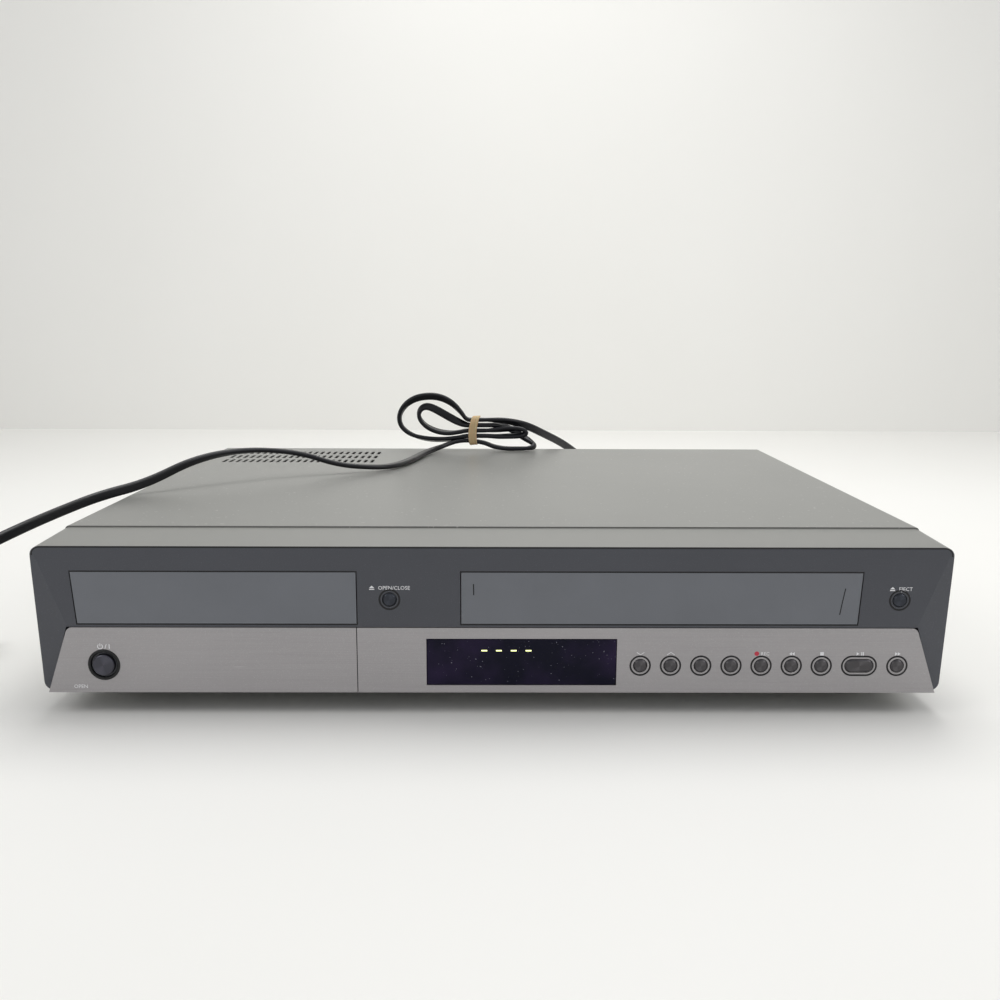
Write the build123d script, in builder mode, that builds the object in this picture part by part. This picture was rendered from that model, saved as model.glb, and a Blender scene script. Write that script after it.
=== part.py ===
from build123d import *

import os
from math import acos, atan2, ceil, cos, degrees, pi, radians, sin, tan

# A disc and cassette combination player, in millimetres.
# +X is the right end seen from the front, -Y is the front, +Z is up.
# The origin lies on the table, under the middle of the case with its jacks and keys.

os.makedirs("parts", exist_ok=True)

# ---------------------------------------------------------------- driving sizes
PANEL_WIDTH = 430.0            # the moulded front panel, the widest piece
COVER_INSET = 1.5              # of the sheet cover behind it, at each end
CASE_DEPTH = 335.0             # front face to the rear edge of the cover
COVER_TOP_Z = 84.0             # table to the top of the cover
FOOT_HEIGHT = 8.6              # table to the underside of the chassis
PANEL_DEPTH = 36.0             # front face to the seam with the cover
PANEL_TOP_FRONT_Z = 81.8       # top of the panel at its front edge
PANEL_TOP_REAR_Z = 83.3        # top of the panel at the seam
PANEL_BOTTOM_Z = 10.5
PANEL_WALL = 2.5
PANEL_CORNER_RADIUS = 4.0
SHEET = 0.8                    # steel sheet of the chassis, cover and rear panel
KEY_PROUD = 1.5                # how far the power key stands out of the front face
JACK_PROUD = 9.0               # how far the rear sockets stand out of the rear panel

RUN_GAP = 0.3                  # between pieces that slide or turn past each other
SHAFT_GAP = 0.05               # between a shaft and its bore, on the radius
SHUT_GAP = 0.4                 # round the doors and plates of the front

OVERALL_DEPTH = KEY_PROUD + CASE_DEPTH + JACK_PROUD
FRONT_Y = -OVERALL_DEPTH / 2 + KEY_PROUD
REAR_Y = FRONT_Y + CASE_DEPTH
SEAM_Y = FRONT_Y + PANEL_DEPTH
HALF_PANEL = PANEL_WIDTH / 2
HALF_COVER = HALF_PANEL - COVER_INSET
FLOOR_Z = FOOT_HEIGHT + SHEET  # upper face of the chassis floor


# ---------------------------------------------------------------- small helpers
def block(x, y, z, mode=Mode.ADD):
    """Add a block that spans x[0]..x[1], y[0]..y[1], z[0]..z[1]."""
    middle = ((x[0] + x[1]) / 2, (y[0] + y[1]) / 2, (z[0] + z[1]) / 2)
    with Locations(middle):
        Box(x[1] - x[0], y[1] - y[0], z[1] - z[0], mode=mode)


def rod(start, end, radius, mode=Mode.ADD):
    """Add a round rod from one point to another."""
    along = Vector(*end) - Vector(*start)
    with Locations(Plane(origin=start, z_dir=along)):
        Cylinder(radius, along.length, align=(Align.CENTER, Align.CENTER, Align.MIN), mode=mode)


def prism(plane, points, amount, mode=Mode.ADD):
    """Add a prism on a polygon drawn on a plane."""
    with BuildSketch(plane, mode=Mode.PRIVATE) as outline:
        with BuildLine():
            Polyline(*points, close=True)
        make_face()
    extrude(outline.sketch, amount=amount, mode=mode)


def facing_front(y):
    """A plane across the front at y: its x is X, its y is Z, and it faces the viewer."""
    return Plane(origin=(0, y, 0), x_dir=(1, 0, 0), z_dir=(0, -1, 0))


def grow(points, amount):
    """Move each corner of a four-cornered outline outwards in x and z, corner by corner."""
    middle_x = sum(x for x, _ in points) / len(points)
    middle_z = sum(z for _, z in points) / len(points)
    return [
        (x + (amount if x > middle_x else -amount), z + (amount if z > middle_z else -amount))
        for x, z in points
    ]


def save(builder, label):
    """Label a finished piece and write it."""
    builder.part.label = label
    export_step(builder.part, f"parts/{label}.step")


# ---------------------------------------------------------------- front layout
LAYOUT_WIDTH = 430.0           # panel width at which the places along the front were laid out


def across(x):
    """A place along the front, moved in the same share as the panel's width."""
    return x * PANEL_WIDTH / LAYOUT_WIDTH


# The two door openings, as their four corners in x and z. A disc and a cassette have one size,
# so the doors keep theirs and share out the width that is left.
DOOR_TOP_Z = 70.15
DOOR_BOTTOM_Z = 44.55
DISC_DOOR_WIDTH = 133.3
CASSETTE_DOOR_WIDTH = 188.7
SPARE_WIDTH = PANEL_WIDTH - DISC_DOOR_WIDTH - CASSETTE_DOOR_WIDTH
LEFT_SHARE = 17.7 / 108.0      # of the spare width, left of the disc door
RIGHT_SHARE = 41.9 / 108.0     # of the spare width, right of the cassette door
DISC_DOOR_LEFT_TOP_X = -HALF_PANEL + LEFT_SHARE * SPARE_WIDTH
DISC_DOOR_LEFT_BOTTOM_X = DISC_DOOR_LEFT_TOP_X + 1.8
DISC_DOOR_RIGHT_X = DISC_DOOR_LEFT_TOP_X + DISC_DOOR_WIDTH
CASSETTE_DOOR_RIGHT_TOP_X = HALF_PANEL - RIGHT_SHARE * SPARE_WIDTH
CASSETTE_DOOR_RIGHT_BOTTOM_X = CASSETTE_DOOR_RIGHT_TOP_X - 1.2
CASSETTE_DOOR_LEFT_X = CASSETTE_DOOR_RIGHT_TOP_X - CASSETTE_DOOR_WIDTH
DOOR_GAP = CASSETTE_DOOR_LEFT_X - DISC_DOOR_RIGHT_X
RIGHT_MARGIN = HALF_PANEL - CASSETTE_DOOR_RIGHT_TOP_X
DOOR_THICKNESS = 2.5

DISC_OPENING = [
    (DISC_DOOR_LEFT_TOP_X, DOOR_TOP_Z),
    (DISC_DOOR_RIGHT_X, DOOR_TOP_Z),
    (DISC_DOOR_RIGHT_X, DOOR_BOTTOM_Z),
    (DISC_DOOR_LEFT_BOTTOM_X, DOOR_BOTTOM_Z),
]
CASSETTE_OPENING = [
    (CASSETTE_DOOR_LEFT_X, DOOR_TOP_Z),
    (CASSETTE_DOOR_RIGHT_TOP_X, DOOR_TOP_Z),
    (CASSETTE_DOOR_RIGHT_BOTTOM_X, DOOR_BOTTOM_Z),
    (CASSETTE_DOOR_LEFT_X, DOOR_BOTTOM_Z),
]

# The brushed lower plates sit in a step of the front face, with slanted ends.
STEP_TOP_Z = 43.3
STEP_TOP_INSET = 14.4          # of the step's upper corners from the panel's ends
STEP_BOTTOM_INSET = 3.6        # of its lower corners
STEP_TOP_HALF = HALF_PANEL - STEP_TOP_INSET
STEP_BOTTOM_HALF = HALF_PANEL - STEP_BOTTOM_INSET
STEP_DEPTH = 4.8
PLATE_DEPTH = 4.6
PLATE_WALL = 1.8
PLATE_CORNER_RADIUS = 3.2
STEP_FLOOR = 2.0               # wall behind the lower plates
PLATE_FOOT_RADIUS = 1.5
PLATE_FEET = ((-58.0, 28.0), (62.5, 14.8), (110.0, 14.8), (160.0, 14.8), (62.5, 40.0), (182.0, 40.0))
PLATE_SEAM_X = across(-64.3)   # between the hinged jack flap and the fixed plate

# The facets at both ends of the panel: a plane through the crease and the lower corner.
CREASE_TOP = (HALF_PANEL - 1.4, 80.0)
CREASE_APEX = (HALF_PANEL - 14.8, 43.8)
FACET_SETBACK = 5.0            # at the bottom corner of the panel

# Keys and the display.
KEY_ROW_Z = 24.4
ROUND_KEY_X = [across(key_x) for key_x in (69.6, 84.0, 98.4, 112.8, 127.1, 141.5, 155.8)]
PILL_KEY_X = across(173.8)
LAST_KEY_X = across(191.9)
ROUND_KEY_HOLE = 6.8
ROUND_KEY_CAP = 6.2
ROUND_KEY_FACE = 5.0
KEY_FLANGE = 8.4               # shoulder that keeps a key from falling out of its hole
KEY_FLANGE_THICKNESS = 0.8
KEY_STEM = 3.0
KEY_CAP_PROUD = 0.7
PILL_KEY_LENGTH = 13.4
SMALL_KEY_HOLE = 7.0
SMALL_KEY_Z = 56.7
TRAY_KEY_X = DISC_DOOR_RIGHT_X + DOOR_GAP * 15.2 / 48.4
EJECT_KEY_X = CASSETTE_DOOR_RIGHT_TOP_X + RIGHT_MARGIN * 17.7 / 41.9
POWER_KEY_X = across(-184.0)
POWER_KEY_Z = 24.6
POWER_KEY_FACE = 10.2
POWER_KEY_HOLE = 13.0          # in the jack flap
POWER_KEY_RING = 15.2          # bright chamfer round that hole
POWER_COLLAR = 12.0            # dark collar of the panel inside it
KEY_TRAVEL = 0.8
WINDOW_LEFT_X = across(-31.8)
WINDOW_RIGHT_X = across(58.4)
WINDOW_BOTTOM_Z = 14.5
WINDOW_TOP_Z = 37.6
WINDOW_THICKNESS = 1.8
KEY_BOARD_GAP = 2.4            # from the panel's inner step wall to the key board
BOARD = 1.6                    # circuit board thickness

# The jack flap turns on two knuckles at its lower edge.
FLAP_AXIS_Y = FRONT_Y + 3.6
FLAP_AXIS_Z = 12.9
FLAP_PIN_RADIUS = 1.0
KNUCKLE_RADIUS = 1.6
KNUCKLE_WIDTH = 4.0
KNUCKLE_X = (across(-196.0), across(-75.0))
LUG_WIDTH = 3.0
FLAP_SLOT_TOP_Z = 15.2         # the panel is open below this behind the flap

# The well behind the flap, with the front sockets.
WELL_LEFT_X = across(-150.0)
WELL_RIGHT_X = across(-82.0)
WELL_BOTTOM_Z = 15.6
WELL_TOP_Z = 31.4
WELL_BACK_Y = FRONT_Y + 15.0
WELL_WALL = 1.5
FRONT_SOCKET_Z = 20.4
FRONT_SOCKET_X = (WELL_LEFT_X + 8.0, WELL_LEFT_X + 24.0, WELL_LEFT_X + 40.0)
VIDEO_SOCKET_X = (WELL_RIGHT_X - 14.0, WELL_RIGHT_X - 4.0)
FRONT_SOCKET_RADIUS = 4.15
FRONT_SOCKET_LENGTH = 8.5
SOCKET_BORE = 3.4

# The cassette door turns on two pins above its opening.
DOOR_AXIS_Y = FRONT_Y + 4.5
DOOR_AXIS_Z = 74.9
DOOR_PIN_RADIUS = 1.2
DOOR_PIN_LENGTH = 4.0
DOOR_ARM_WIDTH = 2.0
DOOR_ARM_RADIUS = 1.7
DOOR_BOSS_RADIUS = 2.6
DOOR_ARM_FOOT_Z = 64.0

POST_RADIUS = 2.5
BOARD_POSTS = (
    (DISC_DOOR_RIGHT_X + 9.0, 39.0),
    (across(64.5), 39.0),
    (HALF_PANEL - 19.0, 39.0),
    (CASSETTE_DOOR_LEFT_X - 14.4, 62.0),
    (CASSETTE_DOOR_RIGHT_TOP_X + 12.9, 66.0),
    (HALF_PANEL - 15.0, 17.0),
)

STEP_BACK_Y = FRONT_Y + STEP_DEPTH + STEP_FLOOR
KEY_BOARD_Y = STEP_BACK_Y + KEY_BOARD_GAP


# ---------------------------------------------------------------- front panel
def facet_plane(side, inset):
    """The facet at one end of the panel, moved into the panel by inset."""
    crease_top = Vector(side * CREASE_TOP[0], FRONT_Y, CREASE_TOP[1])
    apex = Vector(side * CREASE_APEX[0], FRONT_Y, CREASE_APEX[1])
    corner = Vector(side * HALF_PANEL, FRONT_Y + FACET_SETBACK, PANEL_BOTTOM_Z)
    normal = (apex - crease_top).cross(corner - crease_top).normalized()
    if normal.Y > 0:
        normal = normal * -1
    return Plane(origin=apex - normal * inset, z_dir=normal)


def cut_facets(inset):
    """Cut both end facets from the part being built."""
    for side in (-1, 1):
        split(bisect_by=facet_plane(side, inset), keep=Keep.BOTTOM)


STEP_OUTLINE = [
    (-STEP_TOP_HALF, STEP_TOP_Z),
    (STEP_TOP_HALF, STEP_TOP_Z),
    (STEP_BOTTOM_HALF, PANEL_BOTTOM_Z),
    (-STEP_BOTTOM_HALF, PANEL_BOTTOM_Z),
]

with BuildPart() as panel_space:
    # the room inside the panel, stepped where the lower plates are let in
    with BuildSketch(Plane.YZ.offset(-HALF_PANEL + PANEL_WALL)):
        with BuildLine():
            Polyline(
                (STEP_BACK_Y, PANEL_BOTTOM_Z + PANEL_WALL),
                (STEP_BACK_Y, DOOR_BOTTOM_Z),
                (FRONT_Y + PANEL_WALL, DOOR_BOTTOM_Z),
                (FRONT_Y + PANEL_WALL, PANEL_TOP_FRONT_Z - PANEL_WALL),
                (SEAM_Y + 1, PANEL_TOP_REAR_Z - PANEL_WALL),
                (SEAM_Y + 1, PANEL_BOTTOM_Z + PANEL_WALL),
                close=True,
            )
        make_face()
    extrude(amount=PANEL_WIDTH - 2 * PANEL_WALL)
    cut_facets(PANEL_WALL)

with BuildPart() as front_panel:
    with BuildSketch(Plane.YZ.offset(-HALF_PANEL)):
        with BuildLine():
            Polyline(
                (FRONT_Y, PANEL_BOTTOM_Z),
                (FRONT_Y, PANEL_TOP_FRONT_Z),
                (SEAM_Y, PANEL_TOP_REAR_Z),
                (SEAM_Y, PANEL_BOTTOM_Z),
                close=True,
            )
        make_face()
    extrude(amount=PANEL_WIDTH)
    ends = front_panel.edges().filter_by_position(Axis.X, HALF_PANEL - 0.1, HALF_PANEL + 0.1)
    ends += front_panel.edges().filter_by_position(Axis.X, -HALF_PANEL - 0.1, -HALF_PANEL + 0.1)
    fillet([edge for edge in ends if abs(edge.tangent_at(0.5).Y) > 0.9], PANEL_CORNER_RADIUS)
    top_front = front_panel.edges().filter_by(Axis.X).group_by(Axis.Y)[0].sort_by(Axis.Z)[-1]
    fillet(top_front, 0.8)
    cut_facets(0)
    add(panel_space.part, mode=Mode.SUBTRACT)
    # the step for the lower plates
    prism(facing_front(FRONT_Y + STEP_DEPTH), STEP_OUTLINE, STEP_DEPTH + 1, mode=Mode.SUBTRACT)
    # the openings for the tray and the cassette
    prism(facing_front(FRONT_Y + PANEL_WALL + 0.1), DISC_OPENING, PANEL_WALL + 1, mode=Mode.SUBTRACT)
    prism(facing_front(FRONT_Y + PANEL_WALL + 0.1), CASSETTE_OPENING, PANEL_WALL + 1, mode=Mode.SUBTRACT)
    # holes for the tray key and the eject key, with a collar behind each
    for key_x in (TRAY_KEY_X, EJECT_KEY_X):
        front = (key_x, FRONT_Y, SMALL_KEY_Z)
        back = (key_x, FRONT_Y + PANEL_WALL + 2.5, SMALL_KEY_Z)
        rod((key_x, FRONT_Y + PANEL_WALL, SMALL_KEY_Z), back, SMALL_KEY_HOLE / 2 + 1.2)
        rod(front, back, SMALL_KEY_HOLE / 2, mode=Mode.SUBTRACT)
    # the opening behind the display and the holes for the key stems
    block(
        (WINDOW_LEFT_X - 1.5, WINDOW_RIGHT_X + 1.5),
        (FRONT_Y + STEP_DEPTH - 1, STEP_BACK_Y + 1),
        (WINDOW_BOTTOM_Z - 0.5, WINDOW_TOP_Z + 1.0),
        mode=Mode.SUBTRACT,
    )
    for key_x in (*ROUND_KEY_X, LAST_KEY_X):
        stem_start = (key_x, FRONT_Y + STEP_DEPTH - 1, KEY_ROW_Z)
        rod(stem_start, (key_x, STEP_BACK_Y + 1, KEY_ROW_Z), ROUND_KEY_HOLE / 2, mode=Mode.SUBTRACT)
    pill_half = PILL_KEY_LENGTH / 2 + RUN_GAP
    block(
        (PILL_KEY_X - pill_half, PILL_KEY_X + pill_half),
        (FRONT_Y + STEP_DEPTH - 1, STEP_BACK_Y + 1),
        (KEY_ROW_Z - ROUND_KEY_HOLE / 2, KEY_ROW_Z + ROUND_KEY_HOLE / 2),
        mode=Mode.SUBTRACT,
    )
    # the knuckle slots of the jack flap, along the lower edge
    block(
        (-STEP_BOTTOM_HALF, PLATE_SEAM_X),
        (FRONT_Y + STEP_DEPTH - 1, STEP_BACK_Y),
        (PANEL_BOTTOM_Z - 1, FLAP_SLOT_TOP_Z),
        mode=Mode.SUBTRACT,
    )
    for knuckle_x in KNUCKLE_X:
        knuckle_ends = (knuckle_x - KNUCKLE_WIDTH / 2, knuckle_x + KNUCKLE_WIDTH / 2)
        block(knuckle_ends, (FLAP_AXIS_Y, STEP_BACK_Y + 1), (FLAP_AXIS_Z, FLAP_SLOT_TOP_Z + 0.5))
        start = (knuckle_ends[0], FLAP_AXIS_Y, FLAP_AXIS_Z)
        end = (knuckle_ends[1], FLAP_AXIS_Y, FLAP_AXIS_Z)
        rod(start, end, KNUCKLE_RADIUS)
        rod(start, end, FLAP_PIN_RADIUS + SHAFT_GAP, mode=Mode.SUBTRACT)
    # the well for the front sockets
    block(
        (WELL_LEFT_X - WELL_WALL, WELL_RIGHT_X + WELL_WALL),
        (STEP_BACK_Y - 0.5, WELL_BACK_Y),
        (WELL_BOTTOM_Z - WELL_WALL, WELL_TOP_Z + WELL_WALL),
    )
    block(
        (WELL_LEFT_X, WELL_RIGHT_X),
        (FRONT_Y + STEP_DEPTH - 1, WELL_BACK_Y + 1),
        (WELL_BOTTOM_Z, WELL_TOP_Z),
        mode=Mode.SUBTRACT,
    )
    # the collar round the power key
    collar_front = (POWER_KEY_X, FRONT_Y + 0.6, POWER_KEY_Z)
    collar_back = (POWER_KEY_X, STEP_BACK_Y + 3, POWER_KEY_Z)
    rod(collar_front, collar_back, POWER_COLLAR / 2)
    rod(collar_front, collar_back, POWER_KEY_FACE / 2 + RUN_GAP, mode=Mode.SUBTRACT)
    # the bearings of the cassette door, on ribs from the top of the panel
    for inner_x, outward in ((CASSETTE_DOOR_LEFT_X, -1), (CASSETTE_DOOR_RIGHT_TOP_X, 1)):
        boss_inner = inner_x + outward * 1.0
        boss_outer = inner_x + outward * (DOOR_PIN_LENGTH + 1.0)
        span = (min(boss_inner, boss_outer), max(boss_inner, boss_outer))
        block(
            span,
            (DOOR_AXIS_Y - DOOR_BOSS_RADIUS, DOOR_AXIS_Y + DOOR_BOSS_RADIUS),
            (DOOR_AXIS_Z, PANEL_TOP_FRONT_Z - PANEL_WALL + 0.2),
        )
        rod((span[0], DOOR_AXIS_Y, DOOR_AXIS_Z), (span[1], DOOR_AXIS_Y, DOOR_AXIS_Z), DOOR_BOSS_RADIUS)
        rod(
            (span[0], DOOR_AXIS_Y, DOOR_AXIS_Z),
            (span[1], DOOR_AXIS_Y, DOOR_AXIS_Z),
            DOOR_PIN_RADIUS + SHAFT_GAP,
            mode=Mode.SUBTRACT,
        )
    # posts for the key board
    for post_x, post_z in BOARD_POSTS:
        post_front = FRONT_Y + PANEL_WALL if post_z > DOOR_BOTTOM_Z else STEP_BACK_Y
        rod((post_x, post_front - 0.3, post_z), (post_x, KEY_BOARD_Y, post_z), POST_RADIUS)
save(front_panel, "front_panel")

# ---------------------------------------------------------------- lower plates
with BuildPart() as plate_blank:
    # both lower plates as one shallow tray, before they are parted at the seam
    with BuildSketch(facing_front(FRONT_Y + PLATE_DEPTH)):
        with BuildLine():
            Polyline(*grow(STEP_OUTLINE, -SHUT_GAP), close=True)
        make_face()
        upper_corners = vertices().group_by(Axis.Y)[-1]
        fillet(upper_corners, PLATE_CORNER_RADIUS)
    extrude(amount=PLATE_DEPTH)
    with BuildSketch(facing_front(FRONT_Y + PLATE_DEPTH)):
        with BuildLine():
            Polyline(*grow(STEP_OUTLINE, -SHUT_GAP - PLATE_WALL), close=True)
        make_face()
    extrude(amount=PLATE_DEPTH - PLATE_WALL, mode=Mode.SUBTRACT)
    block(
        (-STEP_BOTTOM_HALF + 6, STEP_BOTTOM_HALF - 6),
        (FRONT_Y + PLATE_WALL, FRONT_Y + PLATE_DEPTH + 1),
        (PANEL_BOTTOM_Z, PANEL_BOTTOM_Z + 3),
        mode=Mode.SUBTRACT,
    )

with BuildPart() as jack_flap:
    add(plate_blank.part)
    block(
        (PLATE_SEAM_X - SHUT_GAP, HALF_PANEL),
        (FRONT_Y - 1, FRONT_Y + PLATE_DEPTH + 1),
        (0, STEP_TOP_Z),
        mode=Mode.SUBTRACT,
    )
    # the return along the seam
    block(
        (PLATE_SEAM_X - SHUT_GAP - PLATE_WALL, PLATE_SEAM_X - SHUT_GAP),
        (FRONT_Y + PLATE_WALL - 0.5, FRONT_Y + PLATE_DEPTH),
        (FLAP_SLOT_TOP_Z + 1, STEP_TOP_Z - SHUT_GAP),
    )
    rod(
        (POWER_KEY_X, FRONT_Y - 1, POWER_KEY_Z),
        (POWER_KEY_X, FRONT_Y + PLATE_WALL + 1, POWER_KEY_Z),
        POWER_KEY_HOLE / 2,
        mode=Mode.SUBTRACT,
    )
    with Locations(Plane(origin=(POWER_KEY_X, FRONT_Y, POWER_KEY_Z), z_dir=(0, 1, 0))):
        Cone(
            POWER_KEY_RING / 2,
            POWER_KEY_HOLE / 2,
            (POWER_KEY_RING - POWER_KEY_HOLE) / 2,
            align=(Align.CENTER, Align.CENTER, Align.MIN),
            mode=Mode.SUBTRACT,
        )
    for knuckle_x in KNUCKLE_X:
        half = KNUCKLE_WIDTH / 2 + RUN_GAP
        block(
            (knuckle_x - half, knuckle_x + half),
            (FRONT_Y + PLATE_WALL, FRONT_Y + PLATE_DEPTH + 1),
            (PANEL_BOTTOM_Z, FLAP_SLOT_TOP_Z + 0.6),
            mode=Mode.SUBTRACT,
        )
        for lug_x in (knuckle_x - half - LUG_WIDTH, knuckle_x + half):
            lug_span = (lug_x, lug_x + LUG_WIDTH)
            block(
                lug_span,
                (FRONT_Y + PLATE_WALL - 0.3, FLAP_AXIS_Y),
                (FLAP_AXIS_Z - KNUCKLE_RADIUS, FLAP_AXIS_Z + KNUCKLE_RADIUS),
            )
            lug_start = (lug_span[0], FLAP_AXIS_Y, FLAP_AXIS_Z)
            rod(lug_start, (lug_span[1], FLAP_AXIS_Y, FLAP_AXIS_Z), KNUCKLE_RADIUS)
        pin_half = half + LUG_WIDTH
        rod(
            (knuckle_x - pin_half, FLAP_AXIS_Y, FLAP_AXIS_Z),
            (knuckle_x + pin_half, FLAP_AXIS_Y, FLAP_AXIS_Z),
            FLAP_PIN_RADIUS,
        )
save(jack_flap, "jack_flap")

with BuildPart() as lower_panel:
    add(plate_blank.part)
    block(
        (-HALF_PANEL, PLATE_SEAM_X),
        (FRONT_Y - 1, FRONT_Y + PLATE_DEPTH + 1),
        (0, STEP_TOP_Z),
        mode=Mode.SUBTRACT,
    )
    # feet of the plate on the step floor
    for foot_x, foot_z in PLATE_FEET:
        foot_front = (across(foot_x), FRONT_Y + PLATE_WALL - 0.3, foot_z)
        rod(foot_front, (across(foot_x), FRONT_Y + STEP_DEPTH, foot_z), PLATE_FOOT_RADIUS)
    # the window opening with its ledge
    block(
        (WINDOW_LEFT_X - 1.2, WINDOW_RIGHT_X + 1.2),
        (FRONT_Y + WINDOW_THICKNESS - 0.4, FRONT_Y + STEP_DEPTH),
        (WINDOW_BOTTOM_Z - 1.2, WINDOW_TOP_Z + 1.2),
    )
    block(
        (WINDOW_LEFT_X, WINDOW_RIGHT_X),
        (FRONT_Y - 1, FRONT_Y + WINDOW_THICKNESS),
        (WINDOW_BOTTOM_Z, WINDOW_TOP_Z),
        mode=Mode.SUBTRACT,
    )
    block(
        (WINDOW_LEFT_X + 1.5, WINDOW_RIGHT_X - 1.5),
        (FRONT_Y, FRONT_Y + STEP_DEPTH + 1),
        (WINDOW_BOTTOM_Z + 1.5, WINDOW_TOP_Z - 1.5),
        mode=Mode.SUBTRACT,
    )
    for key_x in (*ROUND_KEY_X, LAST_KEY_X):
        hole_front = (key_x, FRONT_Y - 1, KEY_ROW_Z)
        hole_back = (key_x, FRONT_Y + PLATE_WALL + 1, KEY_ROW_Z)
        rod(hole_front, hole_back, ROUND_KEY_HOLE / 2, mode=Mode.SUBTRACT)
    with BuildSketch(facing_front(FRONT_Y + PLATE_WALL + 1)):
        with Locations((PILL_KEY_X, KEY_ROW_Z)):
            SlotOverall(PILL_KEY_LENGTH + 2 * RUN_GAP, ROUND_KEY_HOLE)
    extrude(amount=PLATE_WALL + 2, mode=Mode.SUBTRACT)
save(lower_panel, "lower_panel")

with BuildPart() as display_window:
    block(
        (WINDOW_LEFT_X + 0.15, WINDOW_RIGHT_X - 0.15),
        (FRONT_Y + 0.2, FRONT_Y + WINDOW_THICKNESS),
        (WINDOW_BOTTOM_Z + 0.15, WINDOW_TOP_Z - 0.15),
    )
    rim = display_window.faces().sort_by(Axis.Y)[0].edges()
    chamfer(rim, 0.3)
save(display_window, "display_window")


# ---------------------------------------------------------------- keys
def round_key(key_x, key_z, skin_back_y, cap_diameter, face_diameter):
    """A round key: chamfered cap, shoulder behind the panel and stem to its switch."""
    with BuildPart() as key:
        cap_back = skin_back_y + RUN_GAP
        level = Plane(origin=(key_x, 0, key_z), x_dir=(1, 0, 0), z_dir=(0, 0, 1))
        with BuildSketch(level, mode=Mode.PRIVATE) as half:
            with BuildLine():
                Polyline(
                    (0, FRONT_Y - KEY_CAP_PROUD),
                    (face_diameter / 2, FRONT_Y - KEY_CAP_PROUD),
                    (cap_diameter / 2, FRONT_Y - KEY_CAP_PROUD + (cap_diameter - face_diameter) / 2),
                    (cap_diameter / 2, cap_back),
                    (KEY_FLANGE / 2, cap_back),
                    (KEY_FLANGE / 2, cap_back + KEY_FLANGE_THICKNESS),
                    (KEY_STEM / 2, cap_back + KEY_FLANGE_THICKNESS),
                    (KEY_STEM / 2, KEY_BOARD_Y - KEY_TRAVEL - RUN_GAP),
                    (0, KEY_BOARD_Y - KEY_TRAVEL - RUN_GAP),
                    close=True,
                )
            make_face()
        revolve(half.sketch, axis=Axis((key_x, 0, key_z), (0, 1, 0)))
    return key


ROUND_KEY_NAMES = (
    "down_key",
    "up_key",
    "source_key",
    "speed_key",
    "record_key",
    "rewind_key",
    "stop_key",
)
for name, key_x in zip(ROUND_KEY_NAMES, ROUND_KEY_X):
    save(round_key(key_x, KEY_ROW_Z, STEP_BACK_Y, ROUND_KEY_CAP, ROUND_KEY_FACE), name)
save(round_key(LAST_KEY_X, KEY_ROW_Z, STEP_BACK_Y, ROUND_KEY_CAP, ROUND_KEY_FACE), "forward_key")

UPPER_KEY_BACK_Y = FRONT_Y + PANEL_WALL + 2.5
SMALL_KEY_CAP = SMALL_KEY_HOLE - 2 * RUN_GAP
SMALL_KEY_FACE = 5.3
for name, key_x in (("tray_key", TRAY_KEY_X), ("eject_key", EJECT_KEY_X)):
    save(round_key(key_x, SMALL_KEY_Z, UPPER_KEY_BACK_Y, SMALL_KEY_CAP, SMALL_KEY_FACE), name)

with BuildPart() as play_key:
    with BuildSketch(facing_front(STEP_BACK_Y + RUN_GAP)):
        with Locations((PILL_KEY_X, KEY_ROW_Z)):
            SlotOverall(PILL_KEY_LENGTH, ROUND_KEY_CAP)
    extrude(amount=STEP_BACK_Y + RUN_GAP - FRONT_Y + KEY_CAP_PROUD)
    chamfer(play_key.faces().sort_by(Axis.Y)[0].edges(), (ROUND_KEY_CAP - ROUND_KEY_FACE) / 2)
    with BuildSketch(facing_front(STEP_BACK_Y + RUN_GAP + KEY_FLANGE_THICKNESS)):
        with Locations((PILL_KEY_X, KEY_ROW_Z)):
            SlotOverall(PILL_KEY_LENGTH + 2, KEY_FLANGE)
    extrude(amount=KEY_FLANGE_THICKNESS)
    rod(
        (PILL_KEY_X, STEP_BACK_Y + RUN_GAP, KEY_ROW_Z),
        (PILL_KEY_X, KEY_BOARD_Y - KEY_TRAVEL - RUN_GAP, KEY_ROW_Z),
        KEY_STEM / 2,
    )
save(play_key, "play_key")

POWER_STEM_END_Y = FRONT_Y + 14.0
with BuildPart() as power_key:
    rod(
        (POWER_KEY_X, FRONT_Y - KEY_PROUD, POWER_KEY_Z),
        (POWER_KEY_X, STEP_BACK_Y + 3 + RUN_GAP, POWER_KEY_Z),
        POWER_KEY_FACE / 2,
    )
    chamfer(power_key.faces().sort_by(Axis.Y)[0].edges(), 0.5)
    rod(
        (POWER_KEY_X, STEP_BACK_Y + 3 + RUN_GAP, POWER_KEY_Z),
        (POWER_KEY_X, STEP_BACK_Y + 4.2 + RUN_GAP, POWER_KEY_Z),
        POWER_KEY_FACE / 2 + 1.0,
    )
    rod(
        (POWER_KEY_X, STEP_BACK_Y + 4, POWER_KEY_Z),
        (POWER_KEY_X, POWER_STEM_END_Y, POWER_KEY_Z),
        KEY_STEM / 2,
    )
save(power_key, "power_key")

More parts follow.
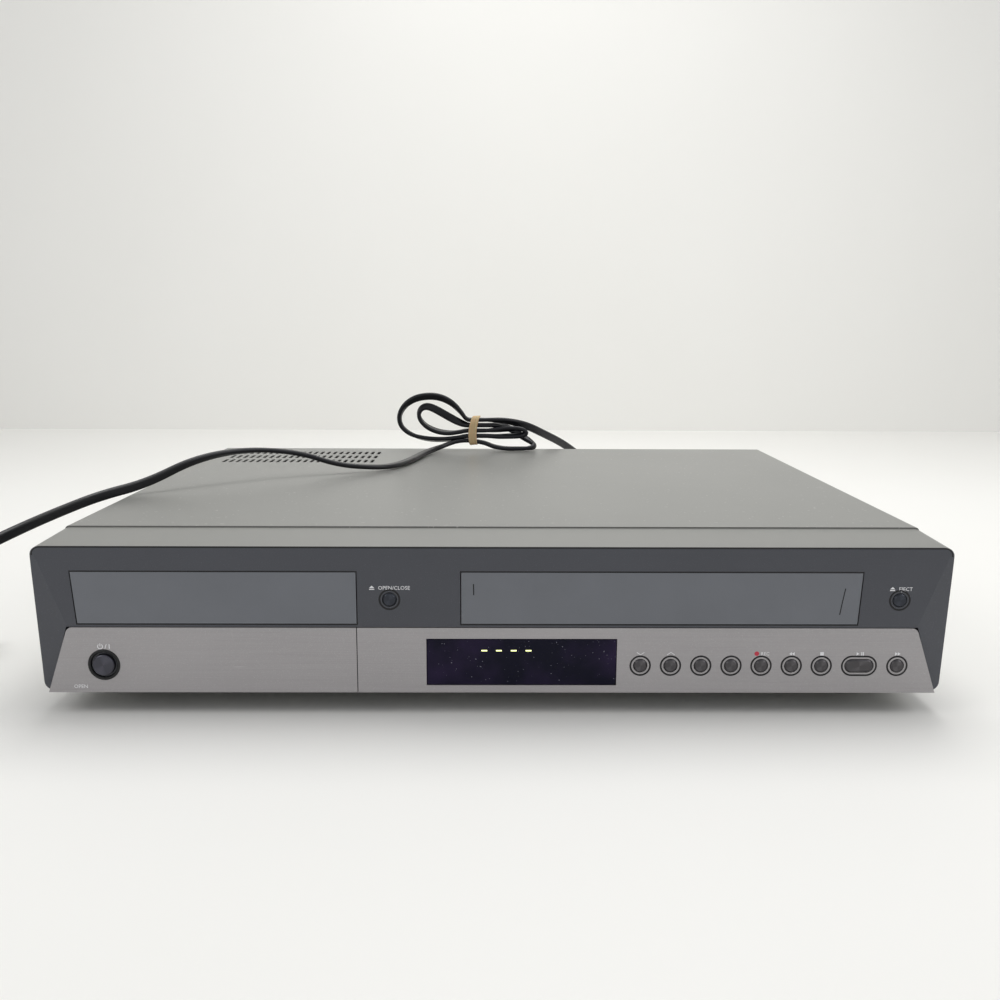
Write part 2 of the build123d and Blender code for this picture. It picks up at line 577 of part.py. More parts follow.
# ---------------------------------------------------------------- cassette door
with BuildPart() as cassette_door:
    prism(facing_front(FRONT_Y + DOOR_THICKNESS), grow(CASSETTE_OPENING, -SHUT_GAP), DOOR_THICKNESS)
    arm_ends = (
        (CASSETTE_DOOR_LEFT_X + SHUT_GAP, 1),
        (CASSETTE_DOOR_RIGHT_TOP_X - SHUT_GAP - 1.0, -1),
    )
    for end_x, inward in arm_ends:
        arm = sorted((end_x, end_x + inward * DOOR_ARM_WIDTH))
        block(
            arm,
            (FRONT_Y + DOOR_THICKNESS - 0.3, DOOR_AXIS_Y + DOOR_ARM_RADIUS),
            (DOOR_ARM_FOOT_Z, DOOR_TOP_Z - SHUT_GAP),
        )
        block(
            arm,
            (DOOR_AXIS_Y - DOOR_ARM_RADIUS, DOOR_AXIS_Y + DOOR_ARM_RADIUS),
            (DOOR_ARM_FOOT_Z + 2, DOOR_AXIS_Z),
        )
        rod((arm[0], DOOR_AXIS_Y, DOOR_AXIS_Z), (arm[1], DOOR_AXIS_Y, DOOR_AXIS_Z), DOOR_ARM_RADIUS)
        outer_x = arm[0] if inward > 0 else arm[1]
        pin_tip = outer_x - inward * (DOOR_PIN_LENGTH + 1.0)
        rod((outer_x, DOOR_AXIS_Y, DOOR_AXIS_Z), (pin_tip, DOOR_AXIS_Y, DOOR_AXIS_Z), DOOR_PIN_RADIUS)
save(cassette_door, "cassette_door")

# ---------------------------------------------------------------- case
CHASSIS_FRONT_Y = FRONT_Y + 8.0
CHASSIS_FRONT_HALF = HALF_PANEL - 9.0  # narrower where it runs inside the front panel
REAR_PANEL_Y = REAR_Y - SHEET  # outer face of the rear panel, inside the cover's rear lip
REAR_PANEL_BACK_Y = REAR_PANEL_Y - SHEET
SIDE_FLANGE_TOP_Z = 26.0
STANDOFF_TOP_Z = FLOOR_Z + 4.0
STANDOFF_RADIUS = 3.0
BOARD_REAR_Y = REAR_Y - 6.0
MAIN_BOARD_X = (-HALF_COVER + 10.5, -HALF_COVER + 185.5)
MAIN_BOARD_Y = (FRONT_Y + 185.0, BOARD_REAR_Y)
POWER_BOARD_X = (HALF_COVER - 151.5, HALF_COVER - 8.5)
POWER_BOARD_Y = (FRONT_Y + 249.0, BOARD_REAR_Y)
BOARD_INSET = 6.0              # of a board's screws from its edges
COVER_SCREW_Z = 18.0
COVER_SCREW_Y = (FRONT_Y + 82.0, REAR_Y - 55.0)
REAR_SCREW_X = (-HALF_COVER + 23.5, 0.0, HALF_COVER - 23.5)
REAR_SCREW_Z = 79.0
REAR_LIP = 9.0
SCREW_RADIUS = 1.5
SCREW_HEAD_RADIUS = 3.2
SCREW_HEAD = 1.6
SCREW_LENGTH = 5.0
FOOT_RADIUS = 15.0
FOOT_DIMPLE_RADIUS = 5.0       # round the foot's screw
FOOT_DIMPLE = 3.0
FOOT_X = HALF_COVER - 41.5
FOOT_FRONT_Y = FRONT_Y + 42.0
FOOT_REAR_Y = REAR_Y - 42.0

# Slots in the top of the cover, over the main board.
SLOT_COUNT = 23
SLOT_PITCH = 4.85
SLOT_RIGHT_X = -88.0
SLOT_ROWS = 3
SLOT_ROW_PITCH = 21.7
SLOT_FIRST_ROW = 27.4          # middle of the rear row to the rear edge
SLOT_LENGTH = 14.0
SLOT_WIDTH = 2.4

GLAND_X = 110.0
GLAND_Z = 30.0
GLAND_RADIUS = 5.0

SOCKET_COLUMNS = 6
SOCKET_PITCH = 16.5
SOCKET_FIRST_X = -170.0
SOCKET_ROW_Z = (27.0, 43.0)
SOCKET_RADIUS = 4.15
AERIAL_X = -47.0
AERIAL_Z = (26.0, 44.0)
AERIAL_RADIUS = 4.8
AERIAL_BORE_RADIUS = 1.2


def corner_points(x_span, y_span, inset):
    """The four corners of a rectangle, moved in by inset."""
    return [
        (x, y)
        for x in (x_span[0] + inset, x_span[1] - inset)
        for y in (y_span[0] + inset, y_span[1] - inset)
    ]


BOARD_CORNERS = corner_points(MAIN_BOARD_X, MAIN_BOARD_Y, BOARD_INSET)
BOARD_CORNERS += corner_points(POWER_BOARD_X, POWER_BOARD_Y, BOARD_INSET)

with BuildPart() as bottom_chassis:
    block(
        (-HALF_COVER + SHEET, HALF_COVER - SHEET),
        (SEAM_Y + 1, REAR_PANEL_BACK_Y),
        (FOOT_HEIGHT, FLOOR_Z),
    )
    block(
        (-CHASSIS_FRONT_HALF, CHASSIS_FRONT_HALF),
        (CHASSIS_FRONT_Y, SEAM_Y + 1),
        (FOOT_HEIGHT, FLOOR_Z),
    )
    # side flanges, a rear flange and a low front lip
    for side in (-1, 1):
        outer = side * (HALF_COVER - SHEET)
        span = sorted((outer, outer - side * SHEET))
        block(span, (SEAM_Y + 1, REAR_PANEL_BACK_Y), (FOOT_HEIGHT, SIDE_FLANGE_TOP_Z))
        for screw_y in COVER_SCREW_Y:
            rod(
                (outer + side, screw_y, COVER_SCREW_Z),
                (outer - side * 2, screw_y, COVER_SCREW_Z),
                SCREW_RADIUS + SHAFT_GAP,
                mode=Mode.SUBTRACT,
            )
    block(
        (-HALF_COVER + 2, HALF_COVER - 2),
        (REAR_PANEL_BACK_Y - SHEET, REAR_PANEL_BACK_Y),
        (FOOT_HEIGHT, STANDOFF_TOP_Z - 0.6),
    )
    # standing bosses for the boards
    for post_x, post_y in BOARD_CORNERS:
        rod((post_x, post_y, FLOOR_Z - 0.3), (post_x, post_y, STANDOFF_TOP_Z), STANDOFF_RADIUS)
    # stiffening ribs pressed up from the floor
    for rib_x in (-120.0, 20.0, 120.0):
        block((rib_x - 4, rib_x + 4), (FRONT_Y + 52.0, REAR_Y - 170.0), (FLOOR_Z - 0.2, FLOOR_Z + 1.2))
    # breathing slots under the power board
    for slot_row in range(3):
        for slot_index in range(6):
            slot_x = POWER_BOARD_X[0] + 30 + slot_index * 16
            slot_y = POWER_BOARD_Y[0] + (slot_row + 1) * (POWER_BOARD_Y[1] - POWER_BOARD_Y[0]) / 4
            block(
                (slot_x, slot_x + 3),
                (slot_y - 7, slot_y + 7),
                (FOOT_HEIGHT - 1, FLOOR_Z + 1),
                mode=Mode.SUBTRACT,
            )
save(bottom_chassis, "bottom_chassis")

with BuildPart() as top_cover:
    with BuildSketch(facing_front(REAR_Y)):
        with BuildLine():
            Polyline(
                (-HALF_COVER, FOOT_HEIGHT),
                (-HALF_COVER, COVER_TOP_Z),
                (HALF_COVER, COVER_TOP_Z),
                (HALF_COVER, FOOT_HEIGHT),
                close=True,
            )
        make_face()
    extrude(amount=REAR_Y - SEAM_Y - RUN_GAP)
    long_edges = top_cover.edges().filter_by(Axis.Y).group_by(Axis.Z)[-1]
    fillet(long_edges, 2.0)
    block(
        (-HALF_COVER + SHEET, HALF_COVER - SHEET),
        (SEAM_Y - 1, REAR_PANEL_Y),
        (FOOT_HEIGHT - 1, COVER_TOP_Z - SHEET),
        mode=Mode.SUBTRACT,
    )
    block(
        (-HALF_COVER + SHEET, HALF_COVER - SHEET),
        (REAR_PANEL_Y - 1, REAR_Y + 1),
        (FOOT_HEIGHT - 1, COVER_TOP_Z - REAR_LIP),
        mode=Mode.SUBTRACT,
    )
    # a narrow joggle that slips under the top of the front panel
    block(
        (-HALF_COVER + 12, HALF_COVER - 12),
        (SEAM_Y - 8, SEAM_Y + 2),
        (PANEL_TOP_REAR_Z - PANEL_WALL - 0.5 - SHEET, PANEL_TOP_REAR_Z - PANEL_WALL - 0.5),
    )
    block(
        (-HALF_COVER + 12, HALF_COVER - 12),
        (SEAM_Y + RUN_GAP, SEAM_Y + 2),
        (PANEL_TOP_REAR_Z - PANEL_WALL - 1, COVER_TOP_Z - SHEET + 0.1),
    )
    with BuildSketch(Plane.XY.offset(COVER_TOP_Z - SHEET - 1)):
        slot_left_x = SLOT_RIGHT_X - (SLOT_COUNT - 1) * SLOT_PITCH
        slot_middle_x = (slot_left_x + SLOT_RIGHT_X) / 2
        slot_middle_y = REAR_Y - SLOT_FIRST_ROW - (SLOT_ROWS - 1) * SLOT_ROW_PITCH / 2
        with Locations((slot_middle_x, slot_middle_y)):
            with GridLocations(SLOT_PITCH, SLOT_ROW_PITCH, SLOT_COUNT, SLOT_ROWS):
                SlotOverall(SLOT_LENGTH, SLOT_WIDTH, rotation=90)
    extrude(amount=SHEET + 2, mode=Mode.SUBTRACT)
    for side in (-1, 1):
        for screw_y in COVER_SCREW_Y:
            rod(
                (side * (HALF_COVER + 1), screw_y, COVER_SCREW_Z),
                (side * (HALF_COVER - 2), screw_y, COVER_SCREW_Z),
                SCREW_RADIUS + SHAFT_GAP,
                mode=Mode.SUBTRACT,
            )
    for screw_x in REAR_SCREW_X:
        rod(
            (screw_x, REAR_Y + 1, REAR_SCREW_Z),
            (screw_x, REAR_PANEL_Y - 0.1, REAR_SCREW_Z),
            SCREW_RADIUS + SHAFT_GAP,
            mode=Mode.SUBTRACT,
        )
save(top_cover, "top_cover")

with BuildPart() as rear_panel:
    block(
        (-HALF_COVER + SHEET, HALF_COVER - SHEET),
        (REAR_PANEL_BACK_Y, REAR_PANEL_Y),
        (FOOT_HEIGHT, COVER_TOP_Z - SHEET),
    )
    through = (REAR_PANEL_BACK_Y - 1, REAR_PANEL_Y + 1)
    for column in range(SOCKET_COLUMNS):
        socket_x = SOCKET_FIRST_X + column * SOCKET_PITCH
        for socket_z in SOCKET_ROW_Z:
            rod(
                (socket_x, through[0], socket_z),
                (socket_x, through[1], socket_z),
                SOCKET_RADIUS + RUN_GAP,
                mode=Mode.SUBTRACT,
            )
    for aerial_z in AERIAL_Z:
        rod(
            (AERIAL_X, through[0], aerial_z),
            (AERIAL_X, through[1], aerial_z),
            AERIAL_RADIUS + RUN_GAP,
            mode=Mode.SUBTRACT,
        )
    rod((GLAND_X, through[0], GLAND_Z), (GLAND_X, through[1], GLAND_Z), GLAND_RADIUS, mode=Mode.SUBTRACT)
    for screw_x in REAR_SCREW_X:
        rod(
            (screw_x, through[0], REAR_SCREW_Z),
            (screw_x, through[1], REAR_SCREW_Z),
            SCREW_RADIUS + SHAFT_GAP,
            mode=Mode.SUBTRACT,
        )
    # breathing slots beside the power board
    for slot_index in range(9):
        slot_x = POWER_BOARD_X[0] + 76.0 + slot_index * 6
        block((slot_x, slot_x + 2.4), through, (46.0, 66.0), mode=Mode.SUBTRACT)
save(rear_panel, "rear_panel")

with BuildPart() as feet:
    for foot_x in (-FOOT_X, FOOT_X):
        for foot_y in (FOOT_FRONT_Y, FOOT_REAR_Y):
            with Locations((foot_x, foot_y, 0)):
                standing = (Align.CENTER, Align.CENTER, Align.MIN)
                Cone(FOOT_RADIUS - 1.5, FOOT_RADIUS, FOOT_HEIGHT, align=standing)
                Cylinder(FOOT_DIMPLE_RADIUS, FOOT_DIMPLE, align=standing, mode=Mode.SUBTRACT)
save(feet, "feet")

with BuildPart() as case_screws:
    for side in (-1, 1):
        for screw_y in COVER_SCREW_Y:
            seat = (side * HALF_COVER, screw_y, COVER_SCREW_Z)
            head_x = side * (HALF_COVER + SCREW_HEAD * 0.9)
            tip_x = side * (HALF_COVER - SCREW_LENGTH)
            rod(seat, (head_x, screw_y, COVER_SCREW_Z), SCREW_HEAD_RADIUS)
            rod(seat, (tip_x, screw_y, COVER_SCREW_Z), SCREW_RADIUS)
    for screw_x in REAR_SCREW_X:
        seat = (screw_x, REAR_Y, REAR_SCREW_Z)
        rod(seat, (screw_x, REAR_Y + SCREW_HEAD, REAR_SCREW_Z), SCREW_HEAD_RADIUS)
        rod(seat, (screw_x, REAR_Y - SCREW_LENGTH, REAR_SCREW_Z), SCREW_RADIUS)
save(case_screws, "case_screws")

# ---------------------------------------------------------------- boards and sockets
BOARD_TOP_Z = STANDOFF_TOP_Z + BOARD
PART_FOOT_Z = BOARD_TOP_Z - 0.2  # components reach a little into their board
CHIP_HEIGHT = 2.2
CAN_RADIUS = 4.0
CAN_HEIGHT = 11.0
# Chips and cans of the main board: from its left edge, from the rear edge of the cover, and a chip's side.
CHIPS = ((33, -60, 24), (83, -70, 20), (123, -110, 16), (53, -105, 14))
SMALL_CANS = ((13, -90), (13, -104), (103, -100), (143, -80), (143, -94))
# Cans of the power board: from its left edge and the rear edge of the cover, then radius and height.
POWER_CANS = (
    (124, -22, 9.0, 26.0),
    (10, -40, 5.0, 18.0),
    (22, -40, 5.0, 18.0),
    (34, -40, 5.0, 16.0),
    (40, -26, 5.0, 18.0),
)

with BuildPart() as main_board:
    block(MAIN_BOARD_X, MAIN_BOARD_Y, (STANDOFF_TOP_Z, BOARD_TOP_Z))
    for chip_dx, chip_dy, chip_size in CHIPS:
        chip_x = MAIN_BOARD_X[0] + chip_dx
        chip_y = REAR_Y + chip_dy
        block(
            (chip_x - chip_size / 2, chip_x + chip_size / 2),
            (chip_y - chip_size / 2, chip_y + chip_size / 2),
            (PART_FOOT_Z, BOARD_TOP_Z + CHIP_HEIGHT),
        )
    for can_dx, can_dy in SMALL_CANS:
        can_x = MAIN_BOARD_X[0] + can_dx
        can_y = REAR_Y + can_dy
        rod((can_x, can_y, PART_FOOT_Z), (can_x, can_y, BOARD_TOP_Z + CAN_HEIGHT), CAN_RADIUS)
save(main_board, "main_board")

with BuildPart() as rear_jacks:
    block(
        (SOCKET_FIRST_X - 10, SOCKET_FIRST_X + (SOCKET_COLUMNS - 1) * SOCKET_PITCH + 10),
        (REAR_PANEL_BACK_Y - 16, REAR_PANEL_BACK_Y),
        (BOARD_TOP_Z, SOCKET_ROW_Z[1] + 9),
    )
    for column in range(SOCKET_COLUMNS):
        socket_x = SOCKET_FIRST_X + column * SOCKET_PITCH
        for socket_z in SOCKET_ROW_Z:
            tip = (socket_x, REAR_Y + JACK_PROUD, socket_z)
            rod((socket_x, REAR_PANEL_BACK_Y - 0.5, socket_z), tip, SOCKET_RADIUS)
            rod((socket_x, REAR_Y, socket_z), tip, SOCKET_BORE / 2, mode=Mode.SUBTRACT)
save(rear_jacks, "rear_jacks")

with BuildPart() as tuner_block:
    block(
        (AERIAL_X - 13, AERIAL_X + 13),
        (REAR_PANEL_BACK_Y - 42, REAR_PANEL_BACK_Y),
        (BOARD_TOP_Z, AERIAL_Z[1] + 10),
    )
    for aerial_z in AERIAL_Z:
        tip_y = REAR_Y + JACK_PROUD - 1
        rod((AERIAL_X, REAR_PANEL_BACK_Y - 0.5, aerial_z), (AERIAL_X, tip_y, aerial_z), AERIAL_RADIUS)
        rod(
            (AERIAL_X, REAR_Y, aerial_z),
            (AERIAL_X, tip_y, aerial_z),
            AERIAL_BORE_RADIUS,
            mode=Mode.SUBTRACT,
        )
save(tuner_block, "tuner_block")

with BuildPart() as power_board:
    block(POWER_BOARD_X, POWER_BOARD_Y, (STANDOFF_TOP_Z, BOARD_TOP_Z))
    for can_dx, can_dy, can_radius, can_height in POWER_CANS:
        can_x = POWER_BOARD_X[0] + can_dx
        can_y = REAR_Y + can_dy
        rod((can_x, can_y, PART_FOOT_Z), (can_x, can_y, BOARD_TOP_Z + can_height), can_radius)
    # a choke and a fuse holder
    choke_x = (POWER_BOARD_X[0] + 88, POWER_BOARD_X[0] + 102)
    block(choke_x, (REAR_Y - 24, REAR_Y - 12), (PART_FOOT_Z, BOARD_TOP_Z + 14))
    fuse_x = (POWER_BOARD_X[0] + 8, POWER_BOARD_X[0] + 32)
    block(fuse_x, (REAR_Y - 22, REAR_Y - 14), (PART_FOOT_Z, BOARD_TOP_Z + 7))
save(power_board, "power_board")

TRANSFORMER_X = POWER_BOARD_X[0] + 65.0
TRANSFORMER_Y = REAR_Y - 32.0
TRANSFORMER_HEIGHT = 24.0
CORE_RADIUS = 12.0
with BuildPart() as power_transformer:
    block(
        (TRANSFORMER_X - 15, TRANSFORMER_X + 15),
        (TRANSFORMER_Y - 14, TRANSFORMER_Y + 14),
        (BOARD_TOP_Z, BOARD_TOP_Z + 6),
    )
    block(
        (TRANSFORMER_X - CORE_RADIUS, TRANSFORMER_X + CORE_RADIUS),
        (TRANSFORMER_Y - 18, TRANSFORMER_Y + 18),
        (BOARD_TOP_Z + 4, BOARD_TOP_Z + TRANSFORMER_HEIGHT),
    )
    core_foot = (TRANSFORMER_X, TRANSFORMER_Y, BOARD_TOP_Z + 4)
    core_top = (TRANSFORMER_X, TRANSFORMER_Y, BOARD_TOP_Z + TRANSFORMER_HEIGHT + 4)
    rod(core_foot, core_top, CORE_RADIUS)
save(power_transformer, "power_transformer")

SINK_X = (POWER_BOARD_X[0] + 88.0, POWER_BOARD_X[0] + 138.0)
SINK_Y = REAR_Y - 35.0         # rear face of its plate
SINK_PLATE = 3.0
SINK_Z = (BOARD_TOP_Z, BOARD_TOP_Z + 30)
FIN_COUNT = 6
FIN_PITCH = 8.0
FIN_REACH = 12.0
with BuildPart() as heat_sink:
    block(SINK_X, (SINK_Y - SINK_PLATE, SINK_Y), SINK_Z)
    for fin in range(FIN_COUNT):
        fin_x = SINK_X[0] + 4 + fin * FIN_PITCH
        block((fin_x, fin_x + 2), (SINK_Y - SINK_PLATE - FIN_REACH, SINK_Y - 2), SINK_Z)
save(heat_sink, "heat_sink")

BOARD_BOTTOM_Z = 14.2
BOARD_STEP_Z = 43.0            # the board's top where it passes under the cassette door
BOARD_LEFT_X = DISC_DOOR_RIGHT_X + 4.5
BOARD_RIGHT_X = HALF_PANEL - 10.5
with BuildPart() as key_board:
    with BuildSketch(facing_front(KEY_BOARD_Y + BOARD)):
        with BuildLine():
            Polyline(
                (BOARD_LEFT_X, BOARD_BOTTOM_Z),
                (BOARD_LEFT_X, 66.0),
                (CASSETTE_DOOR_LEFT_X - 9.4, 66.0),
                (CASSETTE_DOOR_LEFT_X - 9.4, BOARD_STEP_Z),
                (CASSETTE_DOOR_RIGHT_TOP_X + 8.4, BOARD_STEP_Z),
                (CASSETTE_DOOR_RIGHT_TOP_X + 8.4, 70.0),
                (BOARD_RIGHT_X, 70.0),
                (BOARD_RIGHT_X, BOARD_BOTTOM_Z),
                close=True,
            )
        make_face()
    extrude(amount=BOARD)
save(key_board, "key_board")

with BuildPart() as display_tube:
    block(
        (WINDOW_LEFT_X + 2, WINDOW_RIGHT_X - 2),
        (FRONT_Y + STEP_DEPTH + 0.4, KEY_BOARD_Y),
        (WINDOW_BOTTOM_Z + 1.8, WINDOW_TOP_Z - 1.5),
    )
    chamfer(display_tube.faces().sort_by(Axis.Y)[0].edges(), 0.6)
save(display_tube, "display_tube")

SOCKET_BOARD_Y = WELL_BACK_Y + 2.0
SWITCH_HALF = 6.0              # half the side of the power switch
with BuildPart() as front_jacks:
    well_z = (WELL_BOTTOM_Z - WELL_WALL, WELL_TOP_Z + WELL_WALL)
    block((WELL_LEFT_X - WELL_WALL, WELL_RIGHT_X + WELL_WALL), (WELL_BACK_Y, SOCKET_BOARD_Y), well_z)
    block((-HALF_PANEL + 10, WELL_RIGHT_X + WELL_WALL), (SOCKET_BOARD_Y, SOCKET_BOARD_Y + BOARD), well_z)
    for socket_x in FRONT_SOCKET_X:
        tip = (socket_x, WELL_BACK_Y - FRONT_SOCKET_LENGTH, FRONT_SOCKET_Z)
        rod(tip, (socket_x, SOCKET_BOARD_Y, FRONT_SOCKET_Z), FRONT_SOCKET_RADIUS)
        rod(tip, (socket_x, WELL_BACK_Y - 0.5, FRONT_SOCKET_Z), SOCKET_BORE / 2, mode=Mode.SUBTRACT)
    # the square socket
    block(VIDEO_SOCKET_X, (WELL_BACK_Y - 2, WELL_BACK_Y + 0.5), (17.0, 25.0))
    switch_front_y = POWER_STEM_END_Y + KEY_TRAVEL + RUN_GAP
    block(
        (POWER_KEY_X - SWITCH_HALF, POWER_KEY_X + SWITCH_HALF),
        (switch_front_y, SOCKET_BOARD_Y + 0.2),
        (POWER_KEY_Z - SWITCH_HALF, POWER_KEY_Z + SWITCH_HALF),
    )
save(front_jacks, "front_jacks")

# ---------------------------------------------------------------- disc loader
TRAY_X = (DISC_DOOR_LEFT_TOP_X + DISC_DOOR_RIGHT_X) / 2 + 0.75  # middle of the tray and the disc
DISC_Y = FRONT_Y + 68.0
DISC_WELL_RADIUS = 60.7
SMALL_WELL_RADIUS = 41.0
SPINDLE_WAY_RADIUS = 18.5
TRAY_HALF = 62.2
TRAY_FLANGE_HALF = 64.9
TRAY_REAR_Y = FRONT_Y + 160.0
TRAY_TOP_Z = 55.6
TRAY_SKIRT_Z = 47.6
TRAY_WELL_Z = 53.4
TRAY_PLATE = 2.0
TRAY_TRAVEL = 135.0
LOADER_INNER_HALF = 65.2
LOADER_WALL = 2.5
LOADER_Y = (FRONT_Y + 9.0, FRONT_Y + 175.0)
LOADER_FLOOR_Z = (34.0, 36.0)
LOADER_TOP_Z = 64.0
LOADER_LEG_OFFSET = 58.0
LOADER_LEG_RADIUS = 4.0
RAIL_Z = 48.1                  # the tray's flanges slide just above this
FLANGE_Z = (RAIL_Z + 0.2, RAIL_Z + 2.2)

RACK_MODULE = 1.0
GEAR_TEETH = 24
TOOTH_ADDENDUM = 0.8
TOOTH_DEDENDUM = 1.0
TOOTH_THICKNESS = 1.2          # at the pitch line, thin enough for easy running
PRESSURE_ANGLE = 20.0
GEAR_Y = FRONT_Y + 18.0
RACK_PITCH_X = TRAY_X - 57.2
GEAR_PITCH_RADIUS = RACK_MODULE * GEAR_TEETH / 2
GEAR_X = RACK_PITCH_X + GEAR_PITCH_RADIUS
GEAR_Z = (45.1, 47.2)
GEAR_PIN_RADIUS = 1.5

DECK_FRONT_Y = FRONT_Y + 40.0
DECK_PIVOT_Y = FRONT_Y + 166.0
DECK_PIVOT_Z = 41.0
DECK_PIN_RADIUS = 2.0
DECK_Z = (39.5, 40.9)
DECK_HALF = 42.0
SLED_ROD_RADIUS = 1.5
SLED_ROD_OFFSET = 24.0
SLED_ROD_Z = DECK_Z[1] + SLED_ROD_RADIUS
SLED_Y = (FRONT_Y + 88.0, FRONT_Y + 108.0)
SLED_TRAVEL = 36.0
SLED_HALF = 28.0
TURNTABLE_RADIUS = 15.0
TURNTABLE_Z = (44.2, 46.2)
SPINDLE_RADIUS = 1.5
CLAMP_HOLE_RADIUS = 15.5
BRIDGE_Z = (LOADER_TOP_Z, LOADER_TOP_Z + 1.6)


def tooth_outline():
    """A straight-sided tooth that points along +x, with its pitch point at the origin."""
    slope = tan(radians(PRESSURE_ANGLE))
    root_half = TOOTH_THICKNESS / 2 + TOOTH_DEDENDUM * slope
    tip_half = TOOTH_THICKNESS / 2 - TOOTH_ADDENDUM * slope
    return [
        (-TOOTH_DEDENDUM - 0.3, -root_half),
        (-TOOTH_DEDENDUM, -root_half),
        (TOOTH_ADDENDUM, -tip_half),
        (TOOTH_ADDENDUM, tip_half),
        (-TOOTH_DEDENDUM, root_half),
        (-TOOTH_DEDENDUM - 0.3, root_half),
    ]


with BuildPart() as loader_frame:
    outer_half = LOADER_INNER_HALF + LOADER_WALL
    block((TRAY_X - outer_half, TRAY_X + outer_half), LOADER_Y, LOADER_FLOOR_Z)
    for side in (-1, 1):
        wall = sorted((TRAY_X + side * LOADER_INNER_HALF, TRAY_X + side * outer_half))
        block(wall, LOADER_Y, (LOADER_FLOOR_Z[0], LOADER_TOP_Z))
        # the rail under the tray's flange and the keeper above it
        ledge_inner = TRAY_X + side * (TRAY_HALF + RUN_GAP)
        ledge = sorted((ledge_inner, TRAY_X + side * (LOADER_INNER_HALF + 0.5)))
        block(ledge, LOADER_Y, (RAIL_Z - 1.8, RAIL_Z))
        block(ledge, LOADER_Y, (FLANGE_Z[1] + 0.2, FLANGE_Z[1] + 1.8))
        # legs to the floor of the case
        for leg_y in (SEAM_Y + 6, LOADER_Y[1] - 10):
            leg_x = TRAY_X + side * LOADER_LEG_OFFSET
            rod((leg_x, leg_y, FLOOR_Z), (leg_x, leg_y, LOADER_FLOOR_Z[0] + 0.5), LOADER_LEG_RADIUS)
        # bearings of the traverse deck
        bearing = sorted((TRAY_X + side * (DECK_HALF + RUN_GAP), TRAY_X + side * (DECK_HALF + 5)))
        block(bearing, (DECK_PIVOT_Y - 4, DECK_PIVOT_Y + 4), (LOADER_FLOOR_Z[0], DECK_PIVOT_Z + 3.5))
    block(
        (TRAY_X - DECK_HALF - 3, TRAY_X + DECK_HALF + 3),
        (DECK_FRONT_Y - 4, DECK_PIVOT_Y - 8),
        (LOADER_FLOOR_Z[0] - 1, LOADER_FLOOR_Z[1] + 1),
        mode=Mode.SUBTRACT,
    )
    rod(
        (TRAY_X - DECK_HALF - 6, DECK_PIVOT_Y, DECK_PIVOT_Z),
        (TRAY_X + DECK_HALF + 6, DECK_PIVOT_Y, DECK_PIVOT_Z),
        DECK_PIN_RADIUS + SHAFT_GAP,
        mode=Mode.SUBTRACT,
    )
    # the boss and pin of the tray gear
    rod((GEAR_X, GEAR_Y, LOADER_FLOOR_Z[1] - 0.5), (GEAR_X, GEAR_Y, GEAR_Z[0] - RUN_GAP), 4.0)
    rod((GEAR_X, GEAR_Y, GEAR_Z[0] - 1), (GEAR_X, GEAR_Y, GEAR_Z[1]), GEAR_PIN_RADIUS)
save(loader_frame, "loader_frame")

with BuildPart() as disc_tray:
    tray_front_y = FRONT_Y + DOOR_THICKNESS
    block(
        (TRAY_X - TRAY_HALF, TRAY_X + TRAY_HALF),
        (tray_front_y, TRAY_REAR_Y),
        (TRAY_SKIRT_Z, TRAY_TOP_Z),
    )
    block(
        (TRAY_X - TRAY_FLANGE_HALF, TRAY_X + TRAY_FLANGE_HALF),
        (LOADER_Y[0] - 3, TRAY_REAR_Y),
        FLANGE_Z,
    )
    # the hollow underside
    block(
        (TRAY_X - TRAY_HALF + TRAY_PLATE, TRAY_X + TRAY_HALF - TRAY_PLATE),
        (tray_front_y + TRAY_PLATE, TRAY_REAR_Y - TRAY_PLATE),
        (TRAY_SKIRT_Z - 1, TRAY_WELL_Z - TRAY_PLATE),
        mode=Mode.SUBTRACT,
    )
    # the well for a disc, a smaller well inside it, and the way for the spindle and the lens
    over_well = (TRAY_X, DISC_Y, TRAY_TOP_Z + 1)
    rod((TRAY_X, DISC_Y, TRAY_WELL_Z), over_well, DISC_WELL_RADIUS, mode=Mode.SUBTRACT)
    rod((TRAY_X, DISC_Y, TRAY_WELL_Z - 0.9), over_well, SMALL_WELL_RADIUS, mode=Mode.SUBTRACT)
    rod((TRAY_X, DISC_Y, TRAY_SKIRT_Z), over_well, SPINDLE_WAY_RADIUS, mode=Mode.SUBTRACT)
    block(
        (TRAY_X - 14, TRAY_X + 14),
        (DISC_Y, TRAY_REAR_Y - 12),
        (TRAY_WELL_Z - TRAY_PLATE - 1, TRAY_TOP_Z + 1),
        mode=Mode.SUBTRACT,
    )
    # the rack under the left skirt
    rack_root_x = RACK_PITCH_X - TOOTH_DEDENDUM
    block(
        (TRAY_X - TRAY_HALF, rack_root_x),
        (tray_front_y, TRAY_REAR_Y),
        (GEAR_Z[0] - 0.2, TRAY_SKIRT_Z + 0.2),
    )
    rack_pitch = pi * RACK_MODULE
    first_tooth_y = GEAR_Y - rack_pitch * 1.5
    tooth_count = int((TRAY_REAR_Y - first_tooth_y) / rack_pitch)
    with BuildSketch(Plane.XY.offset(GEAR_Z[0] - 0.2)):
        with Locations([(RACK_PITCH_X, first_tooth_y + tooth * rack_pitch) for tooth in range(tooth_count)]):
            Polygon(*tooth_outline(), align=None)
    extrude(amount=TRAY_SKIRT_Z - 0.2 - GEAR_Z[0])
save(disc_tray, "disc_tray")

with BuildPart() as tray_door:
    prism(facing_front(FRONT_Y + DOOR_THICKNESS), grow(DISC_OPENING, -SHUT_GAP), DOOR_THICKNESS)
save(tray_door, "tray_door")

